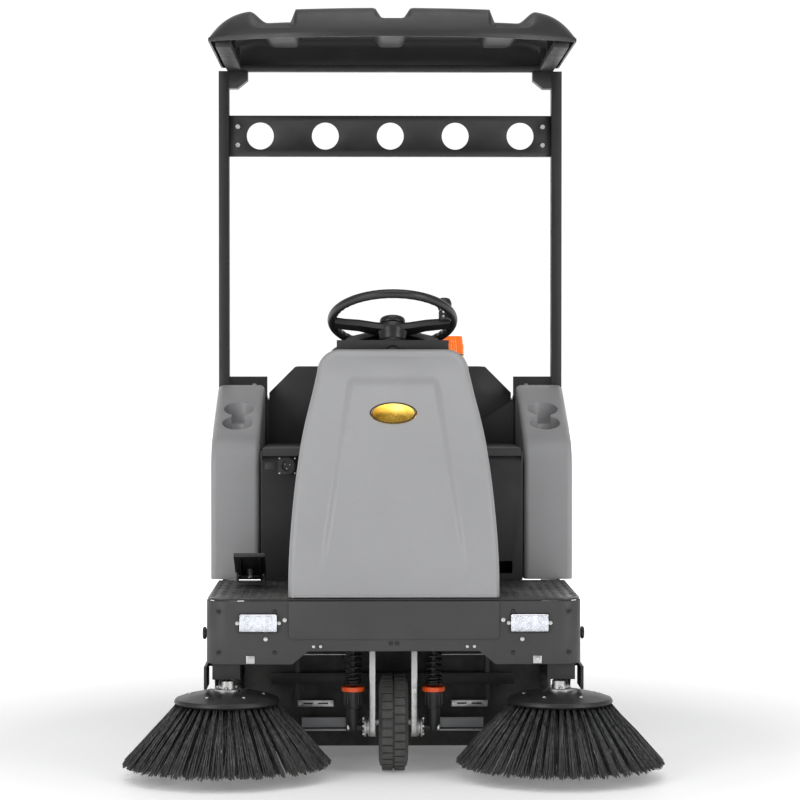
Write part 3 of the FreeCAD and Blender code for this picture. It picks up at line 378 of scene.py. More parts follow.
def bevel(piece, width, segments=2, degrees=30.0):
    """Round every edge sharper than the angle."""
    modifier = piece.modifiers.new("bevel", "BEVEL")
    modifier.width = width
    modifier.segments = segments
    modifier.limit_method = "ANGLE"
    modifier.angle_limit = math.radians(degrees)
    settle(piece)
    return sharpen(piece)


def place(piece, node_or_body, slot=None, replaces=()):
    """Ride on a body and hide the CAD nodes that the piece stands for. The slot argument is not used.
    """
    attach(piece, BODY_OF.get(node_or_body, node_or_body))
    if replaces:
        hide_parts(*replaces)
    return piece


def softened(node, width, segments=2):
    """The CAD node's own shape with its sheet-metal or moulded edges rounded over."""
    mesh = NODES[node].data.copy()
    piece = bpy.data.objects.new(node + "_finished", mesh)
    bpy.context.scene.collection.objects.link(piece)
    form = bmesh.new()
    form.from_mesh(mesh)
    bmesh.ops.remove_doubles(form, verts=form.verts, dist=1e-6)
    flat = math.radians(1.0)
    bmesh.ops.dissolve_limit(form, angle_limit=flat, verts=form.verts, edges=form.edges)
    form.to_mesh(mesh)
    form.free()
    bevel(piece, width, segments)
    return place(piece, node, SLOT_OF[node], (node,))


BOX_FACES = [(0, 1, 3, 2), (4, 6, 7, 5), (0, 4, 5, 1), (2, 3, 7, 6), (0, 2, 6, 4), (1, 5, 7, 3)]


def box_piece(name, low, high, slot, width=0.001, segments=2):
    """A box with rounded edges."""
    xs, ys, zs = zip(low, high)
    verts = [(x, y, z) for x in xs for y in ys for z in zs]
    return bevel(link_mesh(name, verts, BOX_FACES, slot), width, segments)


def plate_between(name, outline, low, high, slot):
    """A flat plate with an outline of (y, z) points, between two places along X."""
    verts = [Vector((x, y, z)) for x in (low, high) for y, z in outline]
    count = len(outline)
    faces = [tuple(range(count)), tuple(reversed(range(count, 2 * count)))]
    faces += [(i, (i + 1) % count, (i + 1) % count + count, i + count) for i in range(count)]
    return link_mesh(name, verts, faces, slot)


def spread_round(count, radius, start=0.0):
    """Angles evenly spread round a circle, each with its two offsets from the centre."""
    for index in range(count):
        turn = 2 * math.pi * index / count + start
        yield turn, radius * math.cos(turn), radius * math.sin(turn)


def axis_frame(centre, axis):
    """A matrix whose local Z is the axis and whose origin is the centre."""
    turn = Vector((0, 0, 1)).rotation_difference(Vector(axis).normalized()).to_matrix().to_4x4()
    return Matrix.Translation(centre) @ turn


def lathe(name, profile, slot, where=Matrix.Identity(4), steps=48, degrees=35.0):
    """Turn (radius, height) points about local Z. A radius of 0 closes the form."""
    verts, faces, rings = [], [], []
    for radius, height in profile:
        if radius < 1e-7:
            rings.append([len(verts)] * steps)
            verts.append(where @ Vector((0, 0, height)))
            continue
        rings.append(list(range(len(verts), len(verts) + steps)))
        verts += [where @ Vector((x, y, height)) for _, x, y in spread_round(steps, radius)]
    for low, high in zip(rings, rings[1:]):
        for step in range(steps):
            nxt = (step + 1) % steps
            corners = [low[step], low[nxt], high[nxt], high[step]]
            face = [v for at, v in enumerate(corners) if v not in corners[:at]]
            if len(face) > 2:
                faces.append(face)
    return sharpen(link_mesh(name, verts, faces, slot), degrees)


def disc_profile(radius, low, high, edge):
    """A bevelled disc profile for lathe."""
    return [(0, low), (radius - edge, low), (radius, low + edge), (radius, high - edge),
            (radius - edge, high), (0, high)]


def tube_along(name, points, radius, slot, sides=12, closed=False):
    """A round bar that follows a list of points."""
    points = [Vector(p) for p in points]
    count = len(points)
    verts, faces = [], []
    side = None
    for index, point in enumerate(points):
        ahead = points[(index + 1) % count] if closed or index + 1 < count else point
        behind = points[index - 1] if closed or index else point
        along = (ahead - behind).normalized()
        if side is None:
            side = along.orthogonal().normalized()
        side = (side - along * side.dot(along)).normalized()
        over = along.cross(side)
        for step in range(sides):
            turn = 2 * math.pi * step / sides
            verts.append(point + (side * math.cos(turn) + over * math.sin(turn)) * radius)
    last = count if closed else count - 1
    for index in range(last):
        low, high = index * sides, ((index + 1) % count) * sides
        for step in range(sides):
            nxt = (step + 1) % sides
            faces.append((low + step, low + nxt, high + nxt, high + step))
    if not closed:
        faces.append(tuple(reversed(range(sides))))
        faces.append(tuple((count - 1) * sides + step for step in range(sides)))
    return sharpen(link_mesh(name, verts, faces, slot), 50)


def joined(name, pieces):
    """One object from several, keeping each one's material."""
    slots = []
    form = bmesh.new()
    for piece in pieces:
        part = piece.data
        offset_of = {}
        for index, material in enumerate(part.materials):
            if material not in slots:
                slots.append(material)
            offset_of[index] = slots.index(material)
        start = len(form.faces)
        copy = part.copy()
        copy.transform(piece.matrix_world)
        form.from_mesh(copy)
        form.faces.ensure_lookup_table()
        for face in form.faces[start:]:
            face.material_index = offset_of.get(face.material_index, 0)
        bpy.data.meshes.remove(copy)
    mesh = bpy.data.meshes.new(name)
    form.to_mesh(mesh)
    form.free()
    for material in slots:
        mesh.materials.append(material)
    for piece in pieces:
        bpy.data.objects.remove(piece)
    whole = bpy.data.objects.new(name, mesh)
    bpy.context.scene.collection.objects.link(whole)
    return whole


def paint(piece, material):
    """Give the whole piece one material."""
    piece.data.materials.clear()
    piece.data.materials.append(material)
    return piece


def smooth_curve(knots_at, values):
    """A smooth function through knots, with Catmull-Rom slopes."""
    at = np.array(knots_at, float)
    val = np.array(values, float)
    slope = np.gradient(val, at)

    def curve(x):
        x = min(max(x, at[0]), at[-1])
        cell = min(max(int(np.searchsorted(at, x)) - 1, 0), len(at) - 2)
        span = at[cell + 1] - at[cell]
        t = (x - at[cell]) / span
        return float((2 * t ** 3 - 3 * t ** 2 + 1) * val[cell]
                     + (t ** 3 - 2 * t ** 2 + t) * span * slope[cell]
                     + (3 * t ** 2 - 2 * t ** 3) * val[cell + 1]
                     + (t ** 3 - t ** 2) * span * slope[cell + 1])
    return curve


def ease(value, low, high):
    """Rises smoothly from 0 at the low value to 1 at the high one, whichever is larger."""
    t = min(max((value - low) / (high - low), 0.0), 1.0)
    return t * t * (3 - 2 * t)


# ---- camera and studio -------------------------------------------------------------------------

def set_camera():
    """Level-eye view of the front from 6.5 m, turned a little towards the driver's left."""
    data = bpy.data.cameras.new("view_camera")
    tilt_down, turn_left = math.radians(0.99), math.radians(0.77)
    data.sensor_width = 36.0
    data.lens = 114.3
    data.clip_end = 200.0
    camera = bpy.data.objects.new("view_camera", data)
    camera.location = (-0.072, -7.1, 1.09)
    camera.rotation_euler = (math.pi / 2 - tilt_down, 0, -turn_left)
    bpy.context.scene.collection.objects.link(camera)
    bpy.context.scene.camera = camera


def area_light(name, where, aim, size, power, size_y=None):
    """A rectangular soft box that points at a place."""
    data = bpy.data.lights.new(name, "AREA")
    data.shape = "RECTANGLE"
    data.size, data.size_y = size, size_y or size
    data.energy = power
    lamp = bpy.data.objects.new(name, data)
    lamp.location = where
    lamp.rotation_euler = (Vector(aim) - Vector(where)).to_track_quat("-Z", "Y").to_euler()
    bpy.context.scene.collection.objects.link(lamp)


def set_studio():
    """Pale floor with a painted glow, faint near the machine and full white far out, a white backdrop
    behind the machine, a dimmer room and three soft boxes.
    """
    world = bpy.data.worlds.new("studio")
    world.use_nodes = True
    tree = world.node_tree
    backdrop = tree.nodes["Background"]
    backdrop.inputs["Strength"].default_value = 1.05
    coords = tree.nodes.new("ShaderNodeTexCoord")
    split = tree.nodes.new("ShaderNodeSeparateXYZ")
    ramp = tree.nodes.new("ShaderNodeValToRGB")
    room, white = (0.40, 0.40, 0.41, 1), (1, 1, 1, 1)
    for end, place_at, colour in zip(ramp.color_ramp.elements, (0.55, 0.80), (room, white)):
        end.position, end.color = place_at, colour
    tree.links.new(coords.outputs["Generated"], split.inputs["Vector"])
    tree.links.new(split.outputs["Y"], ramp.inputs["Fac"])
    tree.links.new(ramp.outputs["Color"], backdrop.inputs["Color"])
    bpy.context.scene.world = world
    bpy.context.scene.view_settings.view_transform = "Standard"
    area_light("top_box", (0.0, -1.2, 4.6), (0, 0, 0.6), 3.2, 58)
    area_light("left_box", (-3.6, -4.2, 2.4), (0, -0.2, 0.8), 1.8, 92, 2.6)
    area_light("right_box", (3.8, -3.8, 2.2), (0, -0.2, 0.8), 1.8, 72, 2.6)
    reach = 30
    corners = [(-reach, -reach, 0), (reach, -reach, 0), (reach, reach, 0), (-reach, reach, 0)]
    floor = link_mesh("studio_floor", corners, [(0, 1, 2, 3)], "zinc", smooth=False)
    shader = Shader("studio_floor", 0.55)
    shader.colour(shader.ramp(shader.noise(0.6, 3.0), [(0.3, (0.91, 0.91, 0.91)),
                                                       (0.7, (0.94, 0.94, 0.94))]))
    # Painted light: the floor's emission is faint near the machine and rises to full white further
    # out, so the floor fades into the backdrop.
    spread = shader.add("ShaderNodeTexGradient", gradient_type="SPHERICAL")
    mapping = shader.add("ShaderNodeMapping", {"Scale": (0.14, 0.14, 0.14)})
    shader.link(shader.coords, mapping.inputs["Vector"])
    shader.link(mapping.outputs["Vector"], spread.inputs["Vector"])
    glow = shader.add("ShaderNodeMapRange", {"From Min": 0.85, "From Max": 0.50,
                                             "To Min": 0.16, "To Max": 1.0})
    shader.link(spread.outputs["Fac"], glow.inputs["Value"])
    shader.link(glow.outputs["Result"], shader.bsdf.inputs["Emission Strength"])
    shader.surface(Emission_Color=(1, 1, 1, 1))
    paint(floor, shader.mat)


# ---- front cowl --------------------------------------------------------------------------------

COWL_HALF = smooth_curve([470, 545, 610, 700, 800, 885, 935, 985, 1060],
                         [272, 271, 268, 261, 250, 237, 226, 214, 198])
COWL_FACE = smooth_curve([470, 600, 750, 885, 985, 1060, 1108],
                         [-590, -580, -545, -492, -441, -389, -345])


def plateau(across, up):
    """How far the raised panel in the middle of the cowl stands out, in millimetres."""
    panel_top, waist, bevel_height, proud = 1033, 560, 23, 11.0
    drop = (panel_top - up) / (panel_top - waist)
    outer = 122 + 68 * drop
    inner = 102 + 72 * drop
    side = (outer - abs(across)) / (outer - inner)
    top = (panel_top + 2 - up) / bevel_height
    short = math.hypot(max(0.0, 1 - side), max(0.0, 1 - top))
    ramp = min(max(1 - short, 0.0), 1.0)
    return proud * (0.75 * ramp + 0.25 * ease(ramp, 0.0, 1.0)) * ease(up, 500, 640)


def build_cowl():
    """A thin moulded shell: leaning face, raised panel, rounded rim and side walls."""
    rim, corner, low, knee = 18.0, 60.0, 470.0, 1048.0
    levels = [low + (knee - low) * i / 90 for i in range(91)]
    levels += [knee + (corner - rim) * math.sin(math.pi / 2 * i / 14) for i in range(1, 15)]
    columns = 108
    grid, verts, faces = [], [], []
    for up in levels:
        half = COWL_HALF(min(up, knee)) - rim
        if up > knee:
            half += math.sqrt(max(0.0, (corner - rim) ** 2 - (up - knee) ** 2)) - (corner - rim)
        row = []
        for step in range(columns + 1):
            across = half * (2 * step / columns - 1)
            row.append(len(verts))
            verts.append(Vector((across, COWL_FACE(up) - plateau(across, up), up)))
        grid.append(row)
    for low_row, high_row in zip(grid, grid[1:]):
        for step in range(columns):
            faces.append((low_row[step], low_row[step + 1], high_row[step + 1], high_row[step]))
    edge = [row[0] for row in grid] + grid[-1][1:-1] + [row[-1] for row in reversed(grid)]
    flat = [Vector((verts[v].x, verts[v].z)) for v in edge]
    outward = []
    for index in range(len(edge)):
        ahead, behind = flat[min(index + 1, len(flat) - 1)], flat[max(index - 1, 0)]
        along = (ahead - behind).normalized()
        outward.append(Vector((-along.y, along.x)))
    loop = edge
    wall_back = -300.0
    rows = [(rim * math.sin(a), rim * (1 - math.cos(a)))
            for a in (math.pi / 2 * i / 7 for i in range(1, 8))]
    rows += [(rim, rim + 0.5), (rim, None)]
    for spread, back in rows:
        new_loop = []
        for index, start in enumerate(edge):
            base = verts[start]
            deep = wall_back if back is None else COWL_FACE(base.z) + back
            new_loop.append(len(verts))
            verts.append(Vector((base.x + outward[index].x * spread, deep,
                                 base.z + outward[index].y * spread)))
        for a in range(len(edge) - 1):
            faces.append((loop[a], loop[a + 1], new_loop[a + 1], new_loop[a]))
        loop = new_loop
    piece = link_mesh("front_cowl_shell", [v * MM for v in verts], faces, "body_grey")
    skin = piece.modifiers.new("wall", "SOLIDIFY")
    skin.thickness, skin.offset = 0.0045, -1.0
    settle(piece)
    place(sharpen(mended(piece), 50), "front_cowl", "body_grey", ("front_cowl",))
    lip = [Vector((side * 254, COWL_FACE(low) + 1, low + 3)) * MM for side in (-1, 1)]
    foot = tube_along("cowl_foot_bead", lip, 0.0035, "body_grey", 10)
    place(foot, "front_cowl", "body_grey")


def build_badge():
    """A blank domed oval in a darker raised rim, with no mark on it."""
    lean = math.radians(62.5)
    where = Matrix.Translation((0, -0.4735, 0.940)) @ Matrix.Rotation(lean, 4, "X")
    half_long, half_high, steps = 62.5, 31.5, 72
    profile = ((0.0, 5.2), (0.35, 5.0), (0.65, 4.3), (0.88, 3.2), (0.93, 3.0), (0.945, 4.4),
               (0.98, 4.4), (1.0, 3.2), (1.0, -6.0))
    verts = [where @ (Vector((half_long * share * math.cos(turn), half_high * share * math.sin(turn),
                              height)) * MM)
             for share, height in profile for turn, _, _ in spread_round(steps, 1.0)]
    faces = []
    for start in range(0, (len(profile) - 1) * steps, steps):
        for step in range(steps):
            nxt = (step + 1) % steps
            faces.append((start + step, start + nxt, start + steps + nxt, start + steps + step))
    piece = link_mesh("blank_badge", verts, faces, "badge_gold")
    piece.data.materials.append(MATERIALS["soft_black"])
    for index, polygon in enumerate(piece.data.polygons):
        if 3 <= index // steps <= 5:
            polygon.material_index = 1
    place(sharpen(mended(piece, 1e-6), 50), "cowl_badge", "badge_gold", ("cowl_badge",))


# ---- side covers -------------------------------------------------------------------------------

def cover_path():
    """The cover's outline seen from the side, front foot to rear top, with outward normals."""
    points = [((-50, z), (-1, 0)) for z in (470, 480, 560, 660, 740, 770)]
    turn, radius = math.radians(67), 112
    for step in range(1, 15):
        angle = turn * step / 14
        points.append(((-50 + radius * (1 - math.cos(angle)), 770 + radius * math.sin(angle)),
                       (-math.cos(angle), math.sin(angle))))
    slope = math.radians(23)
    start = points[-1][0]
    for step in range(1, 13):
        along = 338 * step / 12
        points.append(((start[0] + along * math.cos(slope), start[1] + along * math.sin(slope)),
                       (-math.sin(slope), math.cos(slope))))
    return points


def build_side_cover(side):
    """A closed moulding with rounded edges and two joined cup recesses."""
    name = "side_cover_left" if side > 0 else "side_cover_right"
    inner, outer, rim, back, low = 367.0, 503.0, 17.0, 350.0, 470.0
    columns = [(inner + rim - rim * math.sin(math.pi / 2 * (1 - i / 8)),
                rim * (1 - math.sin(math.pi / 2 * i / 8))) for i in range(9)]
    across = columns + [(inner + outer - x, sink) for x, sink in reversed(columns)]
    path = cover_path()
    verts, faces = [], []
    size = len(path) + 2
    for x, sink in across:
        for (deep, up), normal in path:
            verts.append((side * x, deep - normal[0] * sink, up - normal[1] * sink))
        verts.append((side * x, back, verts[-1][2]))
        verts.append((side * x, back, low))
    for column in range(len(across) - 1):
        for step in range(size):
            nxt = (step + 1) % size
            a, b = column * size + step, column * size + nxt
            faces.append((a, b, b + size, a + size))
    faces.append(tuple(range(size)))
    faces.append(tuple(reversed(range((len(across) - 1) * size, len(across) * size))))
    piece = link_mesh(name + "_moulding", [Vector(v) * MM for v in verts], faces, "body_grey")
    mended(piece, 1e-5)
    middle = side * (inner + outer) / 2 * MM
    cutters = []
    for index, (deep, floor) in enumerate(((0.085, 0.856), (0.174, 0.894))):
        cutters.append(lathe("cup_cutter%d" % index, [(0, 0), (0.0385, 0), (0.0425, 0.01),
                                                      (0.0435, 0.14), (0, 0.14)], "body_grey",
                             Matrix.Translation((middle, deep, floor)), 56))
    cutters.append(box_piece("neck_cutter", (middle - 0.019, 0.085, 0.897),
                             (middle + 0.019, 0.174, 1.03), "body_grey", 0.004))
    for cutter in cutters:
        cutting = piece.modifiers.new("cup", "BOOLEAN")
        cutting.operation, cutting.object, cutting.solver = "DIFFERENCE", cutter, "EXACT"
        settle(piece)
        bpy.data.objects.remove(cutter)
    bevel(piece, 0.0028, 3, 48.0)
    place(sharpen(piece, 55), name, "body_grey", (name,))


# ---- roof --------------------------------------------------------------------------------------

ROOF_LOW, ROOF_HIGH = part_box("roof_canopy")


ROOF_HALF, ROOF_RIM = 497, 1938


def roof_front_edge(across):
    """The front rim sweeps back towards its corners."""
    return ROOF_LOW.y / MM + 118 * (abs(across) / ROOF_HALF) ** 2.2


def roof_back_edge(across):
    """The back rim is nearly straight, with soft corners."""
    return ROOF_HIGH.y / MM - 46 * (abs(across) / ROOF_HALF) ** 4


def roof_height(across, deep):
    """Top surface of the canopy: rounded shoulders and brow, crowned top, three scoops."""
    def rise(distance, reach):
        t = min(max(distance / reach, 0.0), 1.0)
        return (1 - (1 - t) ** 2.5) ** 0.78
    front = deep - roof_front_edge(across)
    back = roof_back_edge(across) - deep
    level = rise(ROOF_HALF - abs(across), 135) * rise(front, 66) * rise(back, 90)
    up = ROOF_RIM + 10 + 72 * level + 1.5 * math.cos(across / ROOF_HALF * math.pi / 2)
    middle = (1 - ease(abs(across), 27, 50)) * ease(front, 14, 26) * ease(back, 60, 130)
    up -= 27 * middle
    for side in (-1, 1):
        inward = 325 - side * across
        wall = ease(inward, 62, 54) if inward > 0 else 1.0
        slope = 1.0 if inward > -10 else ease(-inward, 62, 10)
        run = ease(front, 4, 20) * ease(back, 60, 130)
        up -= (34 if front < 90 else 34 - 6 * ease(front, 90, 200)) * min(wall, slope) * run
    return max(up, ROOF_RIM + 9)


def build_roof():
    """One moulded shell: the curved top and a rim that turns down all round."""
    columns, rows = 150, 96
    verts, faces = [], []
    for row in range(rows + 1):
        share = 0.5 - 0.5 * math.cos(math.pi * row / rows)
        for column in range(columns + 1):
            t = 2 * column / columns - 1
            across = ROOF_HALF * (0.72 * t + 0.28 * math.sin(math.pi / 2 * t))
            low, high = roof_front_edge(across), roof_back_edge(across)
            deep = low + (high - low) * share
            verts.append(Vector((across, deep, roof_height(across, deep))))
    width = columns + 1
    for row in range(rows):
        for column in range(columns):
            a = row * width + column
            faces.append((a, a + 1, a + 1 + width, a + width))
    edge = list(range(width)) + [r * width + columns for r in range(1, rows + 1)]
    edge += [rows * width + c for c in range(columns - 1, -1, -1)]
    edge += [r * width for r in range(rows - 1, 0, -1)]
    loop = edge
    for drop in (6.5, 9.0):
        new_loop = []
        for start in edge:
            new_loop.append(len(verts))
            verts.append(Vector((verts[start].x, verts[start].y, ROOF_RIM + 9.5 - drop)))
        count = len(edge)
        for a in range(count):
            b = (a + 1) % count
            faces.append((loop[b], loop[a], new_loop[a], new_loop[b]))
        loop = new_loop
    piece = link_mesh("canopy_moulding", [v * MM for v in verts], faces, "black_plastic")
    mended(piece)
    skin = piece.modifiers.new("wall", "SOLIDIFY")
    skin.thickness, skin.offset = 0.005, -1.0
    settle(piece)
    place(sharpen(piece, 60), "roof_canopy", "black_plastic", ("roof_canopy",))


# ---- bumper, fascia, frame and deck ------------------------------------------------------------

def screw(name, where, axis, radius, height, slot, sides=48):
    """A domed screw head, or a hexagon bolt when it has six sides."""
    profile = [(0, -0.0005), (radius, -0.0005), (radius, height * 0.55),
               (radius * 0.86, height * 0.9), (radius * 0.45, height), (0, height)]
    if sides == 6:
        profile = [(0, -0.0005), (radius, -0.0005), (radius, height * 0.85),
                   (radius * 0.9, height), (0, height)]
    return lathe(name, profile, slot, axis_frame(where, axis), sides, 25)


def build_bolts():
    """Zinc screws and hexagon bolts; the black head screws between the plates."""
    heads = []
    for side in (1, -1):
        for across, up in ((0.188, 0.346), (0.206, 0.346), (0.280, 0.414), (0.329, 0.365),
                           (0.368, 0.312)):
            small, hexagon = up == 0.346, up == 0.312
            heads.append(screw("head", (side * across, BUMPER_Y, up), FORWARD,
                               0.0045 if small else 0.0062, 0.0045, "zinc", 6 if hexagon else 24))
        for up in (1.710, 1.764):
            heads.append(screw("bar", (side * 0.448, 0.383, up), FORWARD, 0.008, 0.006,
                               "zinc", 6))
        heads.append(screw("foot", (side * 0.400, 0.381, 1.002), FORWARD, 0.0085, 0.007,
                           "zinc", 6))
    place(joined("zinc_heads", heads), "frame_bolts", "zinc", ("frame_bolts",))
    dark = []
    for side in (1, -1):
        for across, up in ((0.452, 0.436), (0.452, 0.330), (0.306, 0.330), (0.306, 0.436),
                           (0.008, 0.353)):
            dark.append(screw("dark", (side * across, BUMPER_Y, up), FORWARD, 0.0052, 0.0035,
                              "soft_black", 24))
    place(joined("dark_heads", dark), "front_bumper", "soft_black")


def build_bumper():
    """The bumper and its fascia, with a clip and a knob on each side."""
    softened("front_bumper", 0.0022, 3)
    softened("fascia_plate", 0.0012, 2)
    for side in (1, -1):
        middle = side * 0.368
        clip = box_piece("bumper_clip_%d" % side, (middle - 0.011, -0.6028, 0.302),
                         (middle + 0.011, -0.5985, 0.322), "zinc", 0.0012)
        place(clip, "front_bumper", "zinc")
        knob = lathe("side_knob_%d" % side,
                     [(0, -0.0005), (0.011, -0.0005), (0.011, 0.003), (0.016, 0.0045),
                      (0.0165, 0.0095), (0.013, 0.0125), (0, 0.0125)], "soft_black",
                     axis_frame((side * 0.4825, -0.515, 0.372), (side, 0, 0)), 40)
        place(knob, "front_bumper", "soft_black")


def lozenge(centre, along, height=0.0013):
    """One raised lozenge of tread plate."""
    half, wide = 0.0125, 0.0034
    across = Vector((-along.y, along.x, 0))
    tips = [centre + along * half, centre + across * wide, centre - along * half,
            centre - across * wide]
    ridge = [centre + along * half * 0.45 + UP * height, centre - along * half * 0.45 + UP * height]
    return tips + ridge, [(0, 1, 4), (1, 5, 4), (1, 2, 5), (2, 3, 5), (3, 4, 5), (3, 0, 4)]


def build_deck():
    """The deck with its pattern of lozenges in crossed pairs."""
    softened("deck_plate", 0.0012, 2)
    verts, faces = [], []
    pitch, surface = 0.024, 0.4679
    for row in range(22):
        for column in range(40):
            centre = Vector((-0.468 + pitch * column, -0.585 + pitch * row, surface))
            corner = abs(centre.x) > 0.43 and centre.y < -0.555
            under_cowl = abs(centre.x) < 0.262 and centre.y < -0.292
            on_foot = 0.342 < abs(centre.x) < 0.43 and -0.196 < centre.y < -0.114
            if corner or under_cowl or on_foot:
                continue
            turn = math.pi / 4 if (row + column) % 2 else -math.pi / 4
            points, sides = lozenge(centre, Vector((math.cos(turn), math.sin(turn), 0)))
            faces += [tuple(v + len(verts) for v in side) for side in sides]
            verts += points
    place(link_mesh("deck_tread", verts, faces, "tread_plate", smooth=False), "deck_plate",
          "tread_plate")


def build_lamps():
    """Two work lamps: silver case with screw lugs, six reflectors and a clear cover."""
    for side in (1, -1):
        at = Vector((side * 0.348, BUMPER_Y, 0.406))
        hand = "left" if side > 0 else "right"
        name = "work_lamp_" + hand
        parts = [box_piece(name + "_case", at + Vector((-0.0485, -0.010, -0.023)),
                           at + Vector((0.0485, 0.0, 0.023)), "lamp_silver", 0.004, 3)]
        for lug in (1, -1):
            parts.append(screw("lug", at + Vector((lug * 0.0535, -0.001, 0.0)), FORWARD, 0.0055,
                               0.0035, "zinc", 24))
        parts.append(box_piece("gasket", at + Vector((-0.0505, -0.0045, -0.025)),
                               at + Vector((0.0505, -0.0002, 0.025)), "soft_black", 0.003, 2))
        for row in (-1, 1):
            for column in (-1, 0, 1):
                centre = at + Vector((column * 0.0275, -0.0102, row * 0.0098))
                bowl = [(0.0, -0.0062), (0.003, -0.0060), (0.0055, -0.0035), (0.0078, 0.0004),
                        (0.0088, 0.0008), (0.0092, 0.0)]
                parts.append(lathe("bowl", bowl, "lamp_silver",
                                   axis_frame(centre + Vector((0, 0.0005, 0)), FORWARD), 24))
                parts.append(lathe("chip", [(0, 0.0012), (0.0022, 0.0010), (0.0028, 0)], "lamp_clear",
                                   axis_frame(centre + Vector((0, 0.004, 0)), FORWARD), 16))
        whole = joined(name + "_finished", parts)
        place(whole, "work_lamps", "lamp_silver", ("work_lamps",) if side > 0 else ())
        cover = box_piece("lamp_cover_" + hand, at + Vector((-0.046, -0.0139, -0.0205)),
                          at + Vector((0.046, -0.0115, 0.0205)), "lamp_clear", 0.001, 2)
        place(cover, "lamp_lenses", "lamp_clear", ("lamp_lenses",) if side > 0 else ())


def build_beacon():
    """Amber beacon: stepped, faceted dome on a dark base with a bright band."""
    low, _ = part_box("beacon_base")
    centre = Vector((low.x + 0.0495, low.y + 0.0495, 1.059))
    where = Matrix.Translation(centre)
    base = lathe("beacon_foot", [(0, 0), (0.0493, 0), (0.0493, 0.004), (0.0478, 0.022),
                                 (0.0468, 0.025), (0.0452, 0.026), (0.0452, 0.0375), (0, 0.0375)],
                 "soft_black", where, 64)
    place(base, "beacon_base", "soft_black", ("beacon_base",))
    band = lathe("beacon_band", [(0.0454, 0.0275), (0.0457, 0.0285), (0.0457, 0.0335),
                                 (0.0454, 0.0345)], "badge_gold", where, 64)
    place(band, "beacon_base", "badge_gold")
    dome = [(0.0448, 0.0382), (0.0444, 0.064), (0.0436, 0.0672), (0.0422, 0.0685),
            (0.0408, 0.0880), (0.0392, 0.0905), (0.0300, 0.0908), (0, 0.0909)]
    around, ridge = 112, 4
    verts, faces, rings = [], [], []
    for radius, height in dome + [(r - 0.004, h - 0.004) for r, h in reversed(dome) if r > 0.01]:
        ring = []
        for step, (turn, _, _) in enumerate(spread_round(around, radius)):
            notch = 1 - 0.018 * (step % ridge == 0) * (0.02 < height < 0.0885)
            ring.append(len(verts))
            verts.append(centre + Vector((radius * notch * math.cos(turn),
                                          radius * notch * math.sin(turn), height)))
        rings.append(ring)
    for a, b in zip(rings, rings[1:]):
        for step in range(around):
            nxt = (step + 1) % around
            faces.append((a[step], a[nxt], b[nxt], b[step]))
    place(sharpen(link_mesh("beacon_dome", verts, faces, "amber"), 30), "beacon_lens", "amber",
          ("beacon_lens",))
    lamp = lathe("beacon_lamp", [(0, 0.040), (0.014, 0.040), (0.014, 0.062), (0.008, 0.074),
                                 (0, 0.076)], "lamp_silver", where, 24)
    place(lamp, "beacon_base", "lamp_silver")


# ---- steering wheel and controls ---------------------------------------------------------------

STEER_AT = Vector((0, -0.225, 1.186))
STEER = Matrix.Translation(STEER_AT) @ Matrix.Rotation(math.radians(-25), 4, "X")


def spoke(name, points, wide, thick):
    """A pressed spoke that follows points from the hub to the ring and dips between them."""
    section = ((-1, 0.2), (-0.86, 1), (-0.3, 0.55), (0.3, 0.55), (0.86, 1), (1, 0.2),
               (0.8, -1), (-0.8, -1))
    count = len(section)
    verts, faces = [], []
    for index, (place_at, half) in enumerate(zip(points, wide)):
        at = Vector(place_at)
        ahead = Vector(points[min(index + 1, len(points) - 1)])
        behind = Vector(points[max(index - 1, 0)])
        along = (ahead - behind).normalized()
        across = UP.cross(along).normalized()
        for x, z in section:
            verts.append(STEER @ (at + across * half * x + Vector((0, 0, z * thick))))
    for a in range(0, (len(points) - 1) * count, count):
        for step in range(count):
            nxt = (step + 1) % count
            faces.append((a + step, a + nxt, a + count + nxt, a + count + step))
    faces.append(tuple(reversed(range(count))))
    faces.append(tuple(range(len(verts) - count, len(verts))))
    return sharpen(link_mesh(name, verts, faces, "soft_black"), 40)


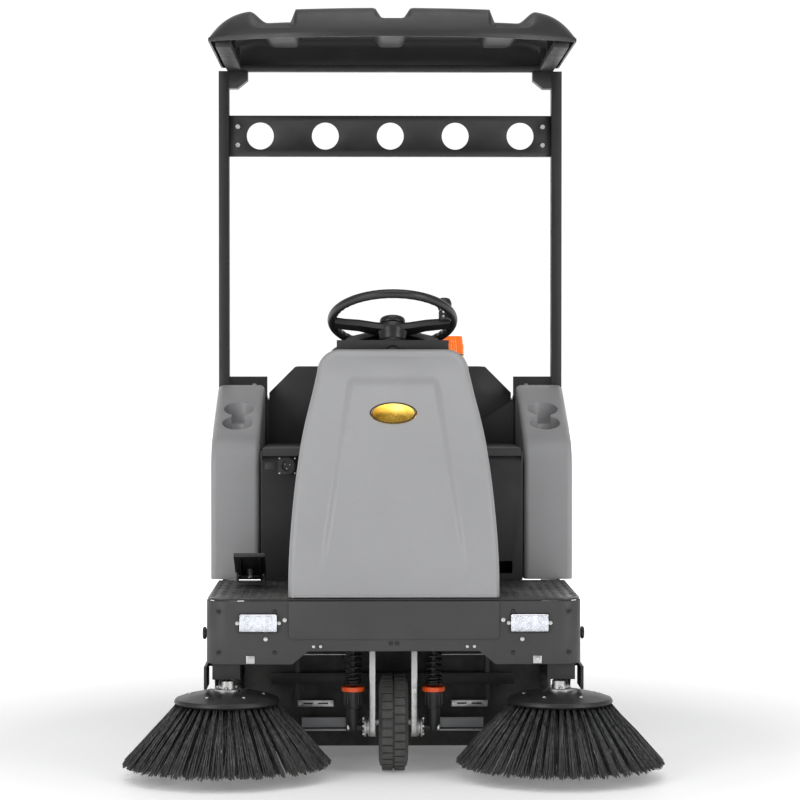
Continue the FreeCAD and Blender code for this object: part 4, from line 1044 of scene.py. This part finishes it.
def build_steering_wheel():
    """Ring with finger ripples, hub, two arms, two rear wings and the knob's clamp."""
    ring, tube, grips, ripple_depth = 0.1635, 0.0125, 44, 0.0011
    verts, faces = [], []
    around, section = 288, 20
    for step in range(around):
        turn = 2 * math.pi * step / around
        for corner in range(section):
            angle = 2 * math.pi * corner / section
            inside = ease(-math.cos(angle), 0.1, 1.0)
            ripple = ripple_depth * inside * math.cos(turn * grips)
            reach = tube * (0.985 + 0.01 * math.cos(angle)) + ripple - ripple_depth * inside
            out = ring + reach * math.cos(angle)
            verts.append(STEER @ Vector((out * math.cos(turn), out * math.sin(turn),
                                         reach * math.sin(angle))))
    for step in range(around):
        nxt = (step + 1) % around
        for corner in range(section):
            other = (corner + 1) % section
            faces.append((step * section + corner, nxt * section + corner,
                          nxt * section + other, step * section + other))
    parts = [link_mesh("ring", verts, faces, "soft_black")]
    parts.append(lathe("hub", [(0, -0.064), (0.0335, -0.064), (0.0352, -0.061), (0.0358, -0.048),
                               (0.0395, -0.038), (0.0405, -0.030), (0.0385, -0.0200),
                               (0.0365, -0.0185), (0, -0.0182)], "soft_black", STEER, 64))
    lean = math.sqrt(0.5)
    for side in (1, -1):
        arm = [(side * 0.018, -0.005, -0.0310), (side * 0.045, -0.005, -0.0275),
               (side * 0.090, -0.005, -0.0175), (side * 0.130, -0.005, -0.0135),
               (side * 0.156, -0.005, -0.0095)]
        parts.append(spoke("arm", arm, (0.031, 0.0285, 0.0225, 0.0205, 0.0215), 0.0088))
        wing = [(side * lean * reach, lean * reach, height) for reach, height in
                ((0.018, -0.0310), (0.050, -0.0275), (0.095, -0.0205), (0.135, -0.0145),
                 (0.157, -0.0095))]
        parts.append(spoke("wing", wing, (0.027, 0.025, 0.0215, 0.0220, 0.0240), 0.0082))
    knob_y = -0.026
    clamp = STEER @ Matrix.Translation((0.1415, knob_y, 0))
    parts.append(lathe("clamp", [(0, -0.0152), (0.0150, -0.0152), (0.0172, -0.012),
                                 (0.0172, 0.0125), (0.0150, 0.0152), (0, 0.0152)],
                       "black_plastic", clamp, 40))
    for at in ((-0.0125, 0.0045), (-0.0105, -0.0085)):
        where = clamp @ Matrix.Translation((at[0], at[1], 0.0147))
        parts.append(lathe("clamp_bolt", [(0, -0.001), (0.0032, -0.001), (0.0032, 0.0025),
                                          (0, 0.0025)], "zinc", where, 6))
    for up in (-0.0085, 0.0055):
        where = clamp @ Matrix.Translation((-0.004, -0.0158, up))
        where = where @ Matrix.Rotation(math.radians(90), 4, "X")
        parts.append(lathe("side_bolt", [(0, -0.001), (0.0042, -0.001), (0.0042, 0.0035),
                                         (0, 0.0035)], "zinc", where, 6))
    whole = joined("steering_wheel_finished", parts)
    place(whole, "steering_wheel", "soft_black", ("steering_wheel",))
    cap = lathe("horn_cap_finished", [(0, -0.0142), (0.0335, -0.0140), (0.0345, -0.012),
                                      (0.0345, -0.0005), (0.0335, 0.0018), (0.0312, 0.0029),
                                      (0.0288, 0.0025), (0.0280, 0.0010), (0, 0.0010)],
                "soft_black", STEER, 72)
    place(cap, "horn_button", "soft_black", ("horn_button",))
    where = STEER @ Matrix.Translation((0.140, knob_y, 0))
    knob = lathe("spinner_grip", [(0, 0.0165), (0.0125, 0.0165), (0.0165, 0.021), (0.0195, 0.030),
                                  (0.0198, 0.040), (0.0168, 0.0485), (0.0105, 0.0516),
                                  (0, 0.0519)], "soft_black", where, 48)
    pin = lathe("spinner_pin", [(0, 0.003), (0.004, 0.003), (0.004, 0.018), (0, 0.018)], "zinc",
                where, 24)
    place(joined("spinner_knob_finished", [knob, pin]), "spinner_knob", "soft_black",
          ("spinner_knob",))


def build_column():
    """Column tube with a ribbed collar under the wheel."""
    profile = [(0, -0.560), (0.0248, -0.560), (0.0248, -0.150), (0.034, -0.150)]
    for step in range(4):
        low = -0.148 + 0.019 * step
        profile += [(0.0363, low), (0.0363, low + 0.012), (0.0335, low + 0.0135),
                    (0.0335, low + 0.0155)]
    profile += [(0.0352, -0.070), (0.0340, -0.0662), (0.010, -0.0662), (0.010, -0.025),
                (0, -0.025)]
    place(lathe("column_finished", profile, "soft_black", STEER, 56), "steering_column",
          "soft_black", ("steering_column",))


def build_controls():
    """Dash and panel, with the stop button, key switch and direction rocker at the back."""
    softened("dash_console", 0.004, 3)
    softened("console_panel", 0.0012, 2)
    softened("direction_switch", 0.0012, 2)
    softened("key_switch", 0.0009, 2)
    stop = axis_frame((0.095, 0, 1.060), (0, 1, 0))
    cap = lathe("stop_mushroom", [(0, -0.174), (0.0078, -0.174), (0.0078, -0.164),
                                  (0.0165, -0.1645), (0.0197, -0.162), (0.0197, -0.158),
                                  (0.016, -0.153), (0.008, -0.1513), (0, -0.1511)],
                "red_plastic", stop, 48)
    place(cap, "stop_button", "red_plastic", ("stop_button",))
    ring = lathe("stop_surround", [(0.022, -0.1799), (0.024, -0.1799), (0.024, -0.1766),
                                   (0.0105, -0.1766), (0.0105, -0.1799)], "badge_gold", stop, 48)
    place(ring, "dash_console", "badge_gold")
    bezel = lathe("key_surround", [(0.0105, -0.1799), (0.014, -0.1799), (0.014, -0.1776),
                                   (0.0105, -0.1771)], "zinc",
                  axis_frame((-0.095, 0, 1.060), (0, 1, 0)), 40)
    place(bezel, "dash_console", "zinc")


def build_pedal():
    """Accelerator: ribbed pad, side cheeks, return spring and the ends of its pin."""
    softened("accelerator_pedal", 0.0016, 2)
    centre = -0.386
    low, high = Vector((0, -0.155, 0.500)), Vector((0, -0.266, 0.560))
    along = (high - low).normalized()
    over = Vector((0, -along.z, along.y))
    parts = []
    for index in range(7):
        at = low + (high - low) * (0.16 + 0.125 * index) + over * -0.0003
        parts.append(tube_along("rib", [Vector((centre - 0.034, at.y, at.z)),
                                        Vector((centre + 0.034, at.y, at.z))], 0.0016,
                                "soft_black", 8))
    for side in (1, -1):
        x, thick = centre + side * 0.026, 0.002
        cheek = [(-0.162, 0.492), (-0.150, 0.498), (-0.205, 0.522), (-0.262, 0.549),
                 (-0.268, 0.543), (-0.215, 0.502), (-0.180, 0.4885)]
        cheek = plate_between("cheek", cheek, x - thick, x + thick, "frame_steel")
        parts.append(bevel(cheek, 0.0006, 1))
    steps, per_turn, radius = 84, 12, 0.006
    turns = [Vector((centre + radius * math.cos(step * 2 * math.pi / per_turn),
                     -0.196 - 0.030 * step / steps
                     + radius * math.sin(step * 2 * math.pi / per_turn),
                     0.486 + 0.028 * step / steps)) for step in range(steps + 1)]
    parts.append(tube_along("return_spring", turns, 0.0011, "zinc", 6))
    for side in (1, -1):
        parts.append(screw("pin_end", (centre + side * 0.0332, -0.155, 0.488), (side, 0, 0),
                           0.0075, 0.003, "zinc", 24))
    place(joined("accelerator_details", parts), "accelerator_pedal", "soft_black")


# ---- front wheel, fork and shocks --------------------------------------------------------------

def tread_block(angle, low, high, inner, outer, span, centre):
    """One tyre lug between two positions along the axle."""
    verts = []
    for radius in (inner, outer):
        for across in (low, high):
            for turn in (angle - span / 2, angle + span / 2):
                slack = 0.0 if radius == inner else 0.0009
                shift = slack if across == low else -slack
                verts.append(centre + Vector((across + shift, radius * math.cos(turn),
                                              radius * math.sin(turn))))
    return verts


def build_tyre(name, centre, half, radius, rim, node, count):
    """Rounded carcass with a centre groove and two staggered rows of blocks."""
    groove, depth = 0.0016, 0.0050
    deep = radius - depth
    where = axis_frame(centre, (1, 0, 0))
    profile = [(rim + 0.002, -half + 0.006), (rim + 0.010, -half + 0.001), (rim + 0.022, -half),
               (deep - 0.022, -half + 0.0004), (deep - 0.010, -half + 0.003), (deep, -half + 0.011),
               (deep, half - 0.011), (deep - 0.010, half - 0.003), (deep - 0.022, half - 0.0004),
               (rim + 0.022, half), (rim + 0.010, half - 0.001), (rim + 0.002, half - 0.006),
               (rim + 0.002, -half + 0.006)]
    carcass = lathe(name + "_carcass", profile, "tyre_rubber", where, 96, 40)
    verts, faces = [], []
    step = 2 * math.pi / count
    for index in range(count):
        for side in (1, -1):
            turn = index * step + (step / 2 if side < 0 else 0)
            low, high = sorted((side * groove, side * half * 0.80))
            faces += [tuple(v + len(verts) for v in face) for face in BOX_FACES]
            verts += tread_block(turn, low, high, deep - 0.002, radius, step * 0.80,
                                 Vector(centre))
    lugs = link_mesh("lugs", verts, faces, "tyre_rubber")
    bevel(lugs, 0.0007, 1)
    return place(joined(name, [carcass, lugs]), node, "tyre_rubber", (node,))


def build_rim(name, centre, half, radius, node):
    """Dished two-sided rim with a hub and five bolts on each side."""
    where = axis_frame(centre, (1, 0, 0))
    profile = [(0, -half * 0.55), (0.018, -half * 0.55), (0.024, -half * 0.40),
               (radius * 0.62, -half * 0.30), (radius * 0.80, -half * 0.55),
               (radius * 0.93, -half * 0.80), (radius, -half * 0.82), (radius, half * 0.82),
               (radius * 0.93, half * 0.80), (radius * 0.80, half * 0.55),
               (radius * 0.62, half * 0.30), (0.024, half * 0.40), (0.018, half * 0.55),
               (0, half * 0.55)]
    parts = [lathe("dish", profile, "wheel_rim", where, 72)]
    for side in (1, -1):
        for _, forward, up in spread_round(5, 0.4 * radius):
            at = Vector(centre) + Vector((side * half * 0.30, forward, up))
            parts.append(screw("nut", at, (side, 0, 0), 0.0065, 0.006, "zinc", 6))
    return place(joined(name, parts), node, "wheel_rim")


def build_wheels():
    """The steered front wheel and the two rear wheels."""
    front = (0, FRONT_AXLE_Y, 0.128)
    build_tyre("front_tyre_finished", front, 0.0385, 0.1278, 0.070, "front_tyre", 34)
    rim = build_rim("front_rim_finished", front, 0.034, 0.0715, "front_rim")
    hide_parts("front_rim")
    for side, hand in ((1, "left"), (-1, "right")):
        node = "rear_wheel_" + hand
        centre = (side * 0.425, 0.330, 0.150)
        build_tyre(node + "_tyre", centre, 0.0366, 0.1498, 0.090, node, 40)
        build_rim(node + "_rim", centre, 0.032, 0.0912, node)


def coil(name, centre, low, high, radius, wire, pitches):
    """A compression spring whose lower turns are closer together."""
    turns, steps = len(pitches), 26
    heights = [0.0]
    for pitch in pitches:
        heights.append(heights[-1] + pitch)
    scale = (high - low - 2 * wire) / heights[-1]
    points = []
    for index in range(turns * steps + 1):
        turn, part = divmod(index, steps)
        base = heights[turn] if turn < turns else heights[-1]
        rise = (pitches[turn] if turn < turns else 0) * part / steps
        angle = 2 * math.pi * index / steps
        points.append(Vector((centre[0] + radius * math.cos(angle),
                              centre[1] + radius * math.sin(angle),
                              low + wire + (base + rise) * scale)))
    return tube_along(name, points, wire, "spring_steel", 10)


def build_leg(x):
    """One zinc leg of the axle carrier: straight edges and a round foot."""
    half, top, foot, drop = 0.026, 0.328, 0.112, 0.0235
    outline = [(half, top), (half, foot)]
    outline += [(half * math.cos(turn), foot - drop * math.sin(turn))
                for turn in (math.pi * i / 16 for i in range(17))]
    outline += [(-half, top)]
    outline = [(FRONT_AXLE_Y + forward, up) for forward, up in outline]
    return bevel(plate_between("leg", outline, x - 0.0082, x + 0.0082, "zinc"), 0.0022, 3)


def build_collar(at):
    """The shock's fluted collar under its spring."""
    profile = [(0.012, 0.1615), (0.0176, 0.1620), (0.0236, 0.1725), (0.0236, 0.2080),
               (0.012, 0.2085)]
    parts = [lathe("collar", profile, "soft_black", Matrix.Translation(at), 48)]
    for _, x, y in spread_round(14, 0.0232):
        edge = at + Vector((x, y, 0))
        parts.append(tube_along("flute", [edge + UP * 0.1745, edge + UP * 0.2065], 0.0021,
                                "soft_black", 8))
    return parts


def build_drum(side):
    """The zinc drum outside a leg, with its ring of bolts."""
    profile = [(0, 0), (0.026, 0), (0.026, 0.004), (0.0205, 0.0055), (0.0205, 0.009),
               (0.0275, 0.0105), (0.0275, 0.0145), (0.012, 0.017), (0, 0.017)]
    up = 0.116
    parts = [lathe("drum", profile, "zinc",
                   axis_frame((side * 0.0618, FRONT_AXLE_Y, up), (side, 0, 0)), 48)]
    for turn in (0.5, 1.76, 3.0, 4.27, 5.53):
        at_bolt = (side * 0.075, FRONT_AXLE_Y + 0.021 * math.cos(turn), up + 0.021 * math.sin(turn))
        parts.append(screw("drum_bolt", at_bolt, (side, 0, 0), 0.0045, 0.006, "zinc", 6))
    return parts


def build_fork():
    """Fork crown, coil springs, and the legs with the shocks' lower halves."""
    softened("steering_fork", 0.002, 2)
    springs = [coil("coil%d" % side, (side * SHOCK_X, FRONT_AXLE_Y), 0.2225, 0.3378, 0.0197, 0.0027,
                    (0.35, 0.5, 0.7, 1.0, 1.15, 1.2, 1.2, 1.2, 1.0)) for side in (1, -1)]
    piece = place(joined("shock_coils", springs), "shock_springs", "spring_steel",
                  ("shock_springs",))
    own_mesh(piece)
    ring = [(0.0075, 0.2085), (0.0294, 0.2085), (0.0305, 0.2098), (0.0305, 0.2195),
            (0.0294, 0.2206), (0.0240, 0.2208), (0.0235, 0.2195), (0.0075, 0.2190)]
    parts, rings, collars = [], [], []
    for side in (1, -1):
        at = Vector((side * SHOCK_X, FRONT_AXLE_Y, 0))
        parts.append(build_leg(side * 0.055))
        parts.append(lathe("shock_body", [(0, 0.106), (0.010, 0.106), (0.0160, 0.121),
                                          (0.0172, 0.128), (0.0172, 0.163), (0, 0.163)],
                           "black_plastic", Matrix.Translation(at), 40))
        collars += build_collar(at)
        rings.append(lathe("ring", ring, "amber", Matrix.Translation(at), 64))
        for turn, x, y in spread_round(8, 0.0297, 0.2):
            parts.append(screw("notch", at + Vector((x, y, 0.2137)),
                               (math.cos(turn), math.sin(turn), 0), 0.0030, 0.0004,
                               "soft_black", 16))
        parts.append(lathe("bush", [(0, -0.026), (0.0085, -0.026), (0.0085, 0.026), (0, 0.026)],
                           "soft_black", axis_frame((side * 0.090, FRONT_AXLE_Y, 0.114), (1, 0, 0)),
                           32))
        parts.append(screw("bush_bolt", (side * 0.116, FRONT_AXLE_Y, 0.114), (side, 0, 0), 0.0095,
                           0.006, "zinc", 6))
        parts += build_drum(side)
    parts.append(lathe("axle", [(0, -0.0715), (0.0098, -0.0715), (0.0098, 0.0715), (0, 0.0715)],
                       "zinc", axis_frame((0, FRONT_AXLE_Y, 0.128), (1, 0, 0)), 32))
    place(joined("axle_carrier_finished", parts), "axle_carrier", "zinc", ("axle_carrier",))
    place(paint(joined("shock_rings", rings), RING_ORANGE), "axle_carrier")
    place(paint(joined("shock_collars", collars), COLLAR_BLACK), "axle_carrier")


def slotted_bar(name, low, high, up, deep):
    """A flat zinc link with a bolt at each end and two slots drawn as thin black strips on its face:
    painted shade in place of openings.
    """
    length, half = high - low, 0.0095
    parts = [box_piece(name, (low, deep, up - half), (high, deep + 0.004, up + half), "zinc",
                       0.0020, 3)]
    # Painted shade: each slot is a thin black strip set into the bar's face, not an opening cut
    # through it.
    for start, end in ((0.16, 0.42), (0.56, 0.84)):
        parts.append(box_piece("slot", (low + length * start, deep - 0.0004, up - 0.0022),
                               (low + length * end, deep + 0.001, up + 0.0022), "soft_black",
                               0.0002, 1))
    for share in (0.07, 0.93):
        parts.append(screw("pin", (low + length * share, deep, up), FORWARD, 0.0042, 0.004,
                           "zinc", 6))
    return parts


def build_under_front():
    """The flap's hangers, plates, rods and slotted links beside the front wheel."""
    links, plates, hangers = [], [], []
    rod_y = -0.280
    for side in (1, -1):
        low, high = sorted((side * 0.158, side * 0.256))
        links += slotted_bar("link", low, high, 0.154, -0.266)
        low, high = sorted((side * 0.124, side * 0.245))
        plates.append(box_piece("plate", (low, -0.272, 0.090), (high, -0.266, 0.117),
                                "wheel_rim", 0.0012, 2))
        low, high = sorted((side * 0.118, side * 0.330))
        for rod, up, radius in (("rod", 0.085, 0.0032), ("upper_rod", 0.288, 0.0020)):
            links.append(tube_along(rod, [(low, rod_y, up), (high, rod_y, up)], radius, "zinc", 12))
        low, high = sorted((side * 0.104, side * 0.126))
        hangers.append(box_piece("inner_hanger", (low, -0.284, 0.080), (high, -0.266, 0.396),
                                 "frame_steel", 0.0006, 1))
        low, high = sorted((side * 0.250, side * 0.262))
        hangers.append(box_piece("outer_hanger", (low, -0.262, 0.145), (high, -0.256, 0.396),
                                 "frame_steel", 0.0006, 1))
    hangers.append(box_piece("cross", (-0.328, -0.266, 0.206), (0.328, -0.258, 0.237),
                             "frame_steel", 0.0012, 2))
    place(joined("flap_plates", plates), "main_frame", "wheel_rim")
    place(joined("flap_links", links), "main_frame", "zinc")
    place(joined("flap_hangers", hangers), "main_frame", "frame_steel")


def build_socket():
    """Charge socket: collar, face with three contacts, screws, and a blank plate beside it."""
    softened("charge_socket", 0.0010, 2)
    at = Vector((-0.290, -0.050, 0.786))
    collar = [(0.0152, 0.0125), (0.0222, 0.0125), (0.0235, 0.0135), (0.0235, 0.0158),
              (0.0205, 0.0162), (0.0155, 0.0160), (0.0152, 0.0125)]
    parts = [lathe("collar", collar, "soft_black", axis_frame(at, FORWARD), 48)]
    parts.append(lathe("face", [(0, 0.0062), (0.0149, 0.0062), (0.0149, 0.0082), (0, 0.0084)],
                       "black_plastic", axis_frame(at, FORWARD), 40))
    for _, across, up in spread_round(3, 0.008, 0.4):
        parts.append(screw("contact", at + Vector((across, -0.0082, up)), FORWARD, 0.0016, 0.001,
                           "zinc", 16))
    for across in (-0.0215, 0.0215):
        for up in (-0.0205, 0.0205):
            parts.append(screw("screw", at + Vector((across, -0.004, up)), FORWARD, 0.0024,
                               0.0016, "zinc", 20))
    place(joined("charge_socket_details", parts), "charge_socket", "soft_black")
    plate = box_piece("blank_label", (-0.352, -0.0512, 0.776), (-0.324, -0.0498, 0.796),
                      "bumper_paint", 0.0004, 2)
    place(plate, "battery_box", "bumper_paint")


# ---- side brushes ------------------------------------------------------------------------------

def build_side_brush(side):
    """Domed disc, drive flange with nuts, and three rings of bristle bundles."""
    hand = "left" if side > 0 else "right"
    centre = Vector((side * 0.432, -0.525, 0))
    where = Matrix.Translation(centre)
    disc = [(0.0101, 0.190), (0.131, 0.190), (0.1366, 0.1945), (0.1366, 0.1985), (0.1325, 0.2045),
            (0.112, 0.2118), (0.071, 0.2205), (0.060, 0.2218), (0.0345, 0.2222), (0.0101, 0.2222),
            (0.0101, 0.190)]
    parts = [lathe("plate", disc, "black_plastic", where, 96)]
    flange = [(0.0102, 0.2222), (0.0338, 0.2222), (0.0338, 0.228), (0.0325, 0.2292),
              (0.0215, 0.2296), (0.0205, 0.2488), (0.0195, 0.2498), (0.0102, 0.2498)]
    parts.append(lathe("flange", flange, "zinc", where, 64))
    for _, x, y in spread_round(3, 0.0270, 0.5):
        parts.append(screw("nut", centre + Vector((x, y, 0.2290)), UP, 0.0052, 0.0055, "zinc", 6))
    for _, x, y in spread_round(6, 0.094):
        parts.append(screw("rivet", centre + Vector((x, y, 0.2150)), UP, 0.005, 0.003, "zinc", 24))
    place(joined("brush_disc_%s_finished" % hand, parts), "brush_disc_" + hand, "black_plastic",
          ("brush_disc_" + hand,))
    place(bristle_rings(hand, centre), "side_bristles_" + hand, "bristle",
          ("side_bristles_" + hand,))


def bristle_rings(hand, centre):
    """Straight tufts that spread from holes in the disc's underside to the floor ring."""
    chance = random.Random(11 if hand == "left" else 23)
    verts, faces = [], []
    plate_underside = 0.1895
    for start, reach, bottom, tufts, fibres in ((0.127, 0.262, 0.031, 46, 27),
                                                (0.112, 0.244, 0.034, 40, 24),
                                                (0.098, 0.226, 0.032, 34, 21)):
        for index in range(tufts):
            turn = 2 * math.pi * (index + 0.15 * chance.random()) / tufts
            root = Vector((start * math.cos(turn), start * math.sin(turn), plate_underside))
            for _ in range(fibres):
                lean = turn + chance.gauss(0, 0.026)
                far = reach + chance.uniform(-0.012, 0.009)
                tip = Vector((far * math.cos(lean), far * math.sin(lean),
                              bottom + chance.uniform(0.0, 0.009)))
                jitter = Vector((chance.gauss(0, 0.0022), chance.gauss(0, 0.0022), 0))
                add_fibre(verts, faces, centre + root + jitter, centre + tip, 0.0013,
                          chance.uniform(0.004, 0.010))
    return link_mesh("side_bristles_%s_finished" % hand, verts, faces, "bristle")


def add_fibre(verts, faces, root, tip, radius, sag):
    """A three-sided bristle with a slight outward bow."""
    along = (tip - root).normalized()
    side = along.orthogonal().normalized()
    over = along.cross(side)
    start = len(verts)
    for share, lift in ((0.0, 0.0), (0.5, 1.0), (1.0, 0.0)):
        at = root.lerp(tip, share) + UP * sag * lift * 0.5
        verts += [at + (side * out + over * up) * radius for _, out, up in spread_round(3, 1.0)]
    for a in (start, start + 3):
        for step in range(3):
            nxt = (step + 1) % 3
            faces.append((a + step, a + nxt, a + 3 + nxt, a + 3 + step))
    faces.append((start + 2, start + 1, start))
    faces.append((start + 6, start + 7, start + 8))


def build_main_brush():
    """Core with end discs and ten helical rows of bristles."""
    centre = Vector((0, 0.230, 0.160))
    where = axis_frame(centre, (1, 0, 0))
    half, bristled, rows_round, stations = 0.337, 0.330, 10, 96
    core = lathe("main_core", [(0, -half), (0.060, -half), (0.060, half), (0, half)],
                 "black_plastic", where, 40)
    ends = [lathe("main_end%d" % side, disc_profile(0.075, side * half - 0.0009,
                                                    side * half + 0.0009, 0.0004),
                  "zinc", where, 48) for side in (1, -1)]
    chance = random.Random(5)
    verts, faces = [], []
    for row in range(rows_round):
        for step in range(stations):
            x = -bristled + 2 * bristled * step / (stations - 1)
            turn = 2 * math.pi * row / rows_round + 1.1 * (x / bristled)
            for _ in range(3):
                lean = turn + chance.gauss(0, 0.035)
                root = centre + Vector((x, 0.059 * math.cos(turn), 0.059 * math.sin(turn)))
                reach = 0.1345 - chance.uniform(0, 0.004)
                tip = centre + Vector((x + chance.gauss(0, 0.002), reach * math.cos(lean),
                                       reach * math.sin(lean)))
                add_fibre(verts, faces, root, tip, 0.0011, 0.0)
    rows = link_mesh("main_rows", verts, faces, "bristle")
    place(joined("main_brush_finished", [core, rows] + ends), "main_brush", "bristle",
          ("main_brush",))


# ---- seat --------------------------------------------------------------------------------------

def cushion_form(name, node):
    """A closed, rounded block a little inside the CAD cushion, ready to be inflated."""
    low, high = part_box(node)
    inset = Vector((0.010, 0.010, 0.010))
    piece = box_piece(name, low + inset, high - inset, "vinyl", 0.022, 4)
    remesh = piece.modifiers.new("even_mesh", "REMESH")
    remesh.mode = "VOXEL"
    remesh.voxel_size = 0.006
    settle(piece)
    return piece


def inflate(piece, allowed):
    """Let the cover fill out under pressure, with the seam line held, and cap how far it moves."""
    rest = [v.co.copy() for v in piece.data.vertices]
    low = Vector([min(v[i] for v in rest) for i in range(3)])
    high = Vector([max(v[i] for v in rest) for i in range(3)])
    middle = (low + high) / 2
    size = high - low
    thin = min(range(3), key=lambda i: size[i])
    group = piece.vertex_groups.new(name="held")
    for vertex in piece.data.vertices:
        share = abs(vertex.co[thin] - middle[thin]) / size[thin]
        if share < 0.06 or vertex.co[thin] < low[thin] + 0.004:
            group.add([vertex.index], 1.0, "REPLACE")
    cloth = piece.modifiers.new("cover", "CLOTH")
    values = {"quality": 4, "mass": 0.3, "use_pressure": True, "uniform_pressure_force": 4.0,
              "vertex_group_mass": "held", "tension_stiffness": 40, "compression_stiffness": 40,
              "shear_stiffness": 20, "bending_stiffness": 4}
    for key, value in values.items():
        setattr(cloth.settings, key, value)
    cloth.settings.effector_weights.gravity = 0.0
    cloth.point_cache.frame_start = 1
    cloth.point_cache.frame_end = 20
    scene = bpy.context.scene
    for step in range(1, 21):
        scene.frame_set(step)
    settle(piece)
    scene.frame_set(1)
    for vertex, start in zip(piece.data.vertices, rest):
        move = vertex.co - start
        if move.length > allowed:
            vertex.co = start + move.normalized() * allowed
    return piece


def build_cushion(name, node):
    """Vinyl cushion: inflated cover with piping round its seam and two sewn lines."""
    piece = cushion_form(name, node)
    piece = inflate(piece, 0.011)
    low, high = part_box(node)
    thin = min(range(3), key=lambda i: high[i] - low[i])
    wide = [i for i in range(3) if i != thin]
    face = low[thin] if thin == 1 else high[thin]
    span = high[wide[1]] - low[wide[1]]
    for vertex in piece.data.vertices:
        side = (vertex.co[thin] - (low[thin] + high[thin]) / 2) * (-1 if thin == 1 else 1)
        if side <= 0:
            continue
        for share in (0.34, 0.66):
            off = abs(vertex.co[wide[1]] - (low[wide[1]] + span * share))
            dip = 0.0065 * math.exp(-(off / 0.0075) ** 2)
            edge = min(vertex.co[wide[0]] - low[wide[0]], high[wide[0]] - vertex.co[wide[0]])
            dip *= ease(edge, 0.015, 0.06)
            vertex.co[thin] -= dip if face == high[thin] else -dip
    finer = piece.modifiers.new("finer", "SUBSURF")
    finer.levels = finer.render_levels = 1
    settle(piece)
    sharpen(piece, 80)
    place(piece, node, "vinyl", (node,))
    middle = (low[thin] + high[thin]) / 2
    corner = 0.032
    loop = []
    a_low, a_high = low[wide[0]] + 0.0095, high[wide[0]] - 0.0095
    b_low, b_high = low[wide[1]] + 0.0095, high[wide[1]] - 0.0095
    a_low, a_high, b_low, b_high = a_low + corner, a_high - corner, b_low + corner, b_high - corner
    for a, b, start in ((a_high, b_high, 0), (a_low, b_high, 90), (a_low, b_low, 180),
                        (a_high, b_low, 270)):
        for step in range(9):
            turn = math.radians(start + 90 * step / 8)
            point = [0.0, 0.0, 0.0]
            point[wide[0]] = a + corner * math.cos(turn)
            point[wide[1]] = b + corner * math.sin(turn)
            point[thin] = middle
            loop.append(Vector(point))
    piping = tube_along(name + "_piping", loop, 0.0032, "soft_black", 8, closed=True)
    place(piping, node, "soft_black")


# ---- everything --------------------------------------------------------------------------------

SOFTENED = {
    "battery_box": 0.0025, "seat_lid": 0.0025, "seat_pan": 0.002, "rear_cover": 0.004,
    "roof_posts": 0.0015, "roof_crossbar": 0.0012, "roof_rails": 0.0015, "main_frame": 0.0012,
    "side_panels": 0.0012, "brush_tunnel": 0.0010, "dust_hopper": 0.0030, "rear_axle": 0.0015,
    "roller_arms": 0.0012, "brush_arm_left": 0.0012, "brush_arm_right": 0.0012,
    "brush_motor_left": 0.0020, "brush_motor_right": 0.0020, "batteries": 0.0040,
    "vacuum_fan": 0.0020, "rubber_skirts": 0.0008,
}

set_camera()
set_studio()
for node_name, edge_width in SOFTENED.items():
    softened(node_name, edge_width)
build_cowl()
build_badge()
for hand_side in (1, -1):
    build_side_cover(hand_side)
for build in (build_roof, build_bumper, build_bolts, build_deck, build_lamps, build_beacon,
              build_column, build_steering_wheel, build_controls, build_pedal, build_wheels,
              build_fork, build_under_front, build_socket):
    build()
for hand_side in (1, -1):
    build_side_brush(hand_side)
build_main_brush()
for soft in ("seat_cushion", "seat_backrest"):
    build_cushion(soft + "_finished", soft)
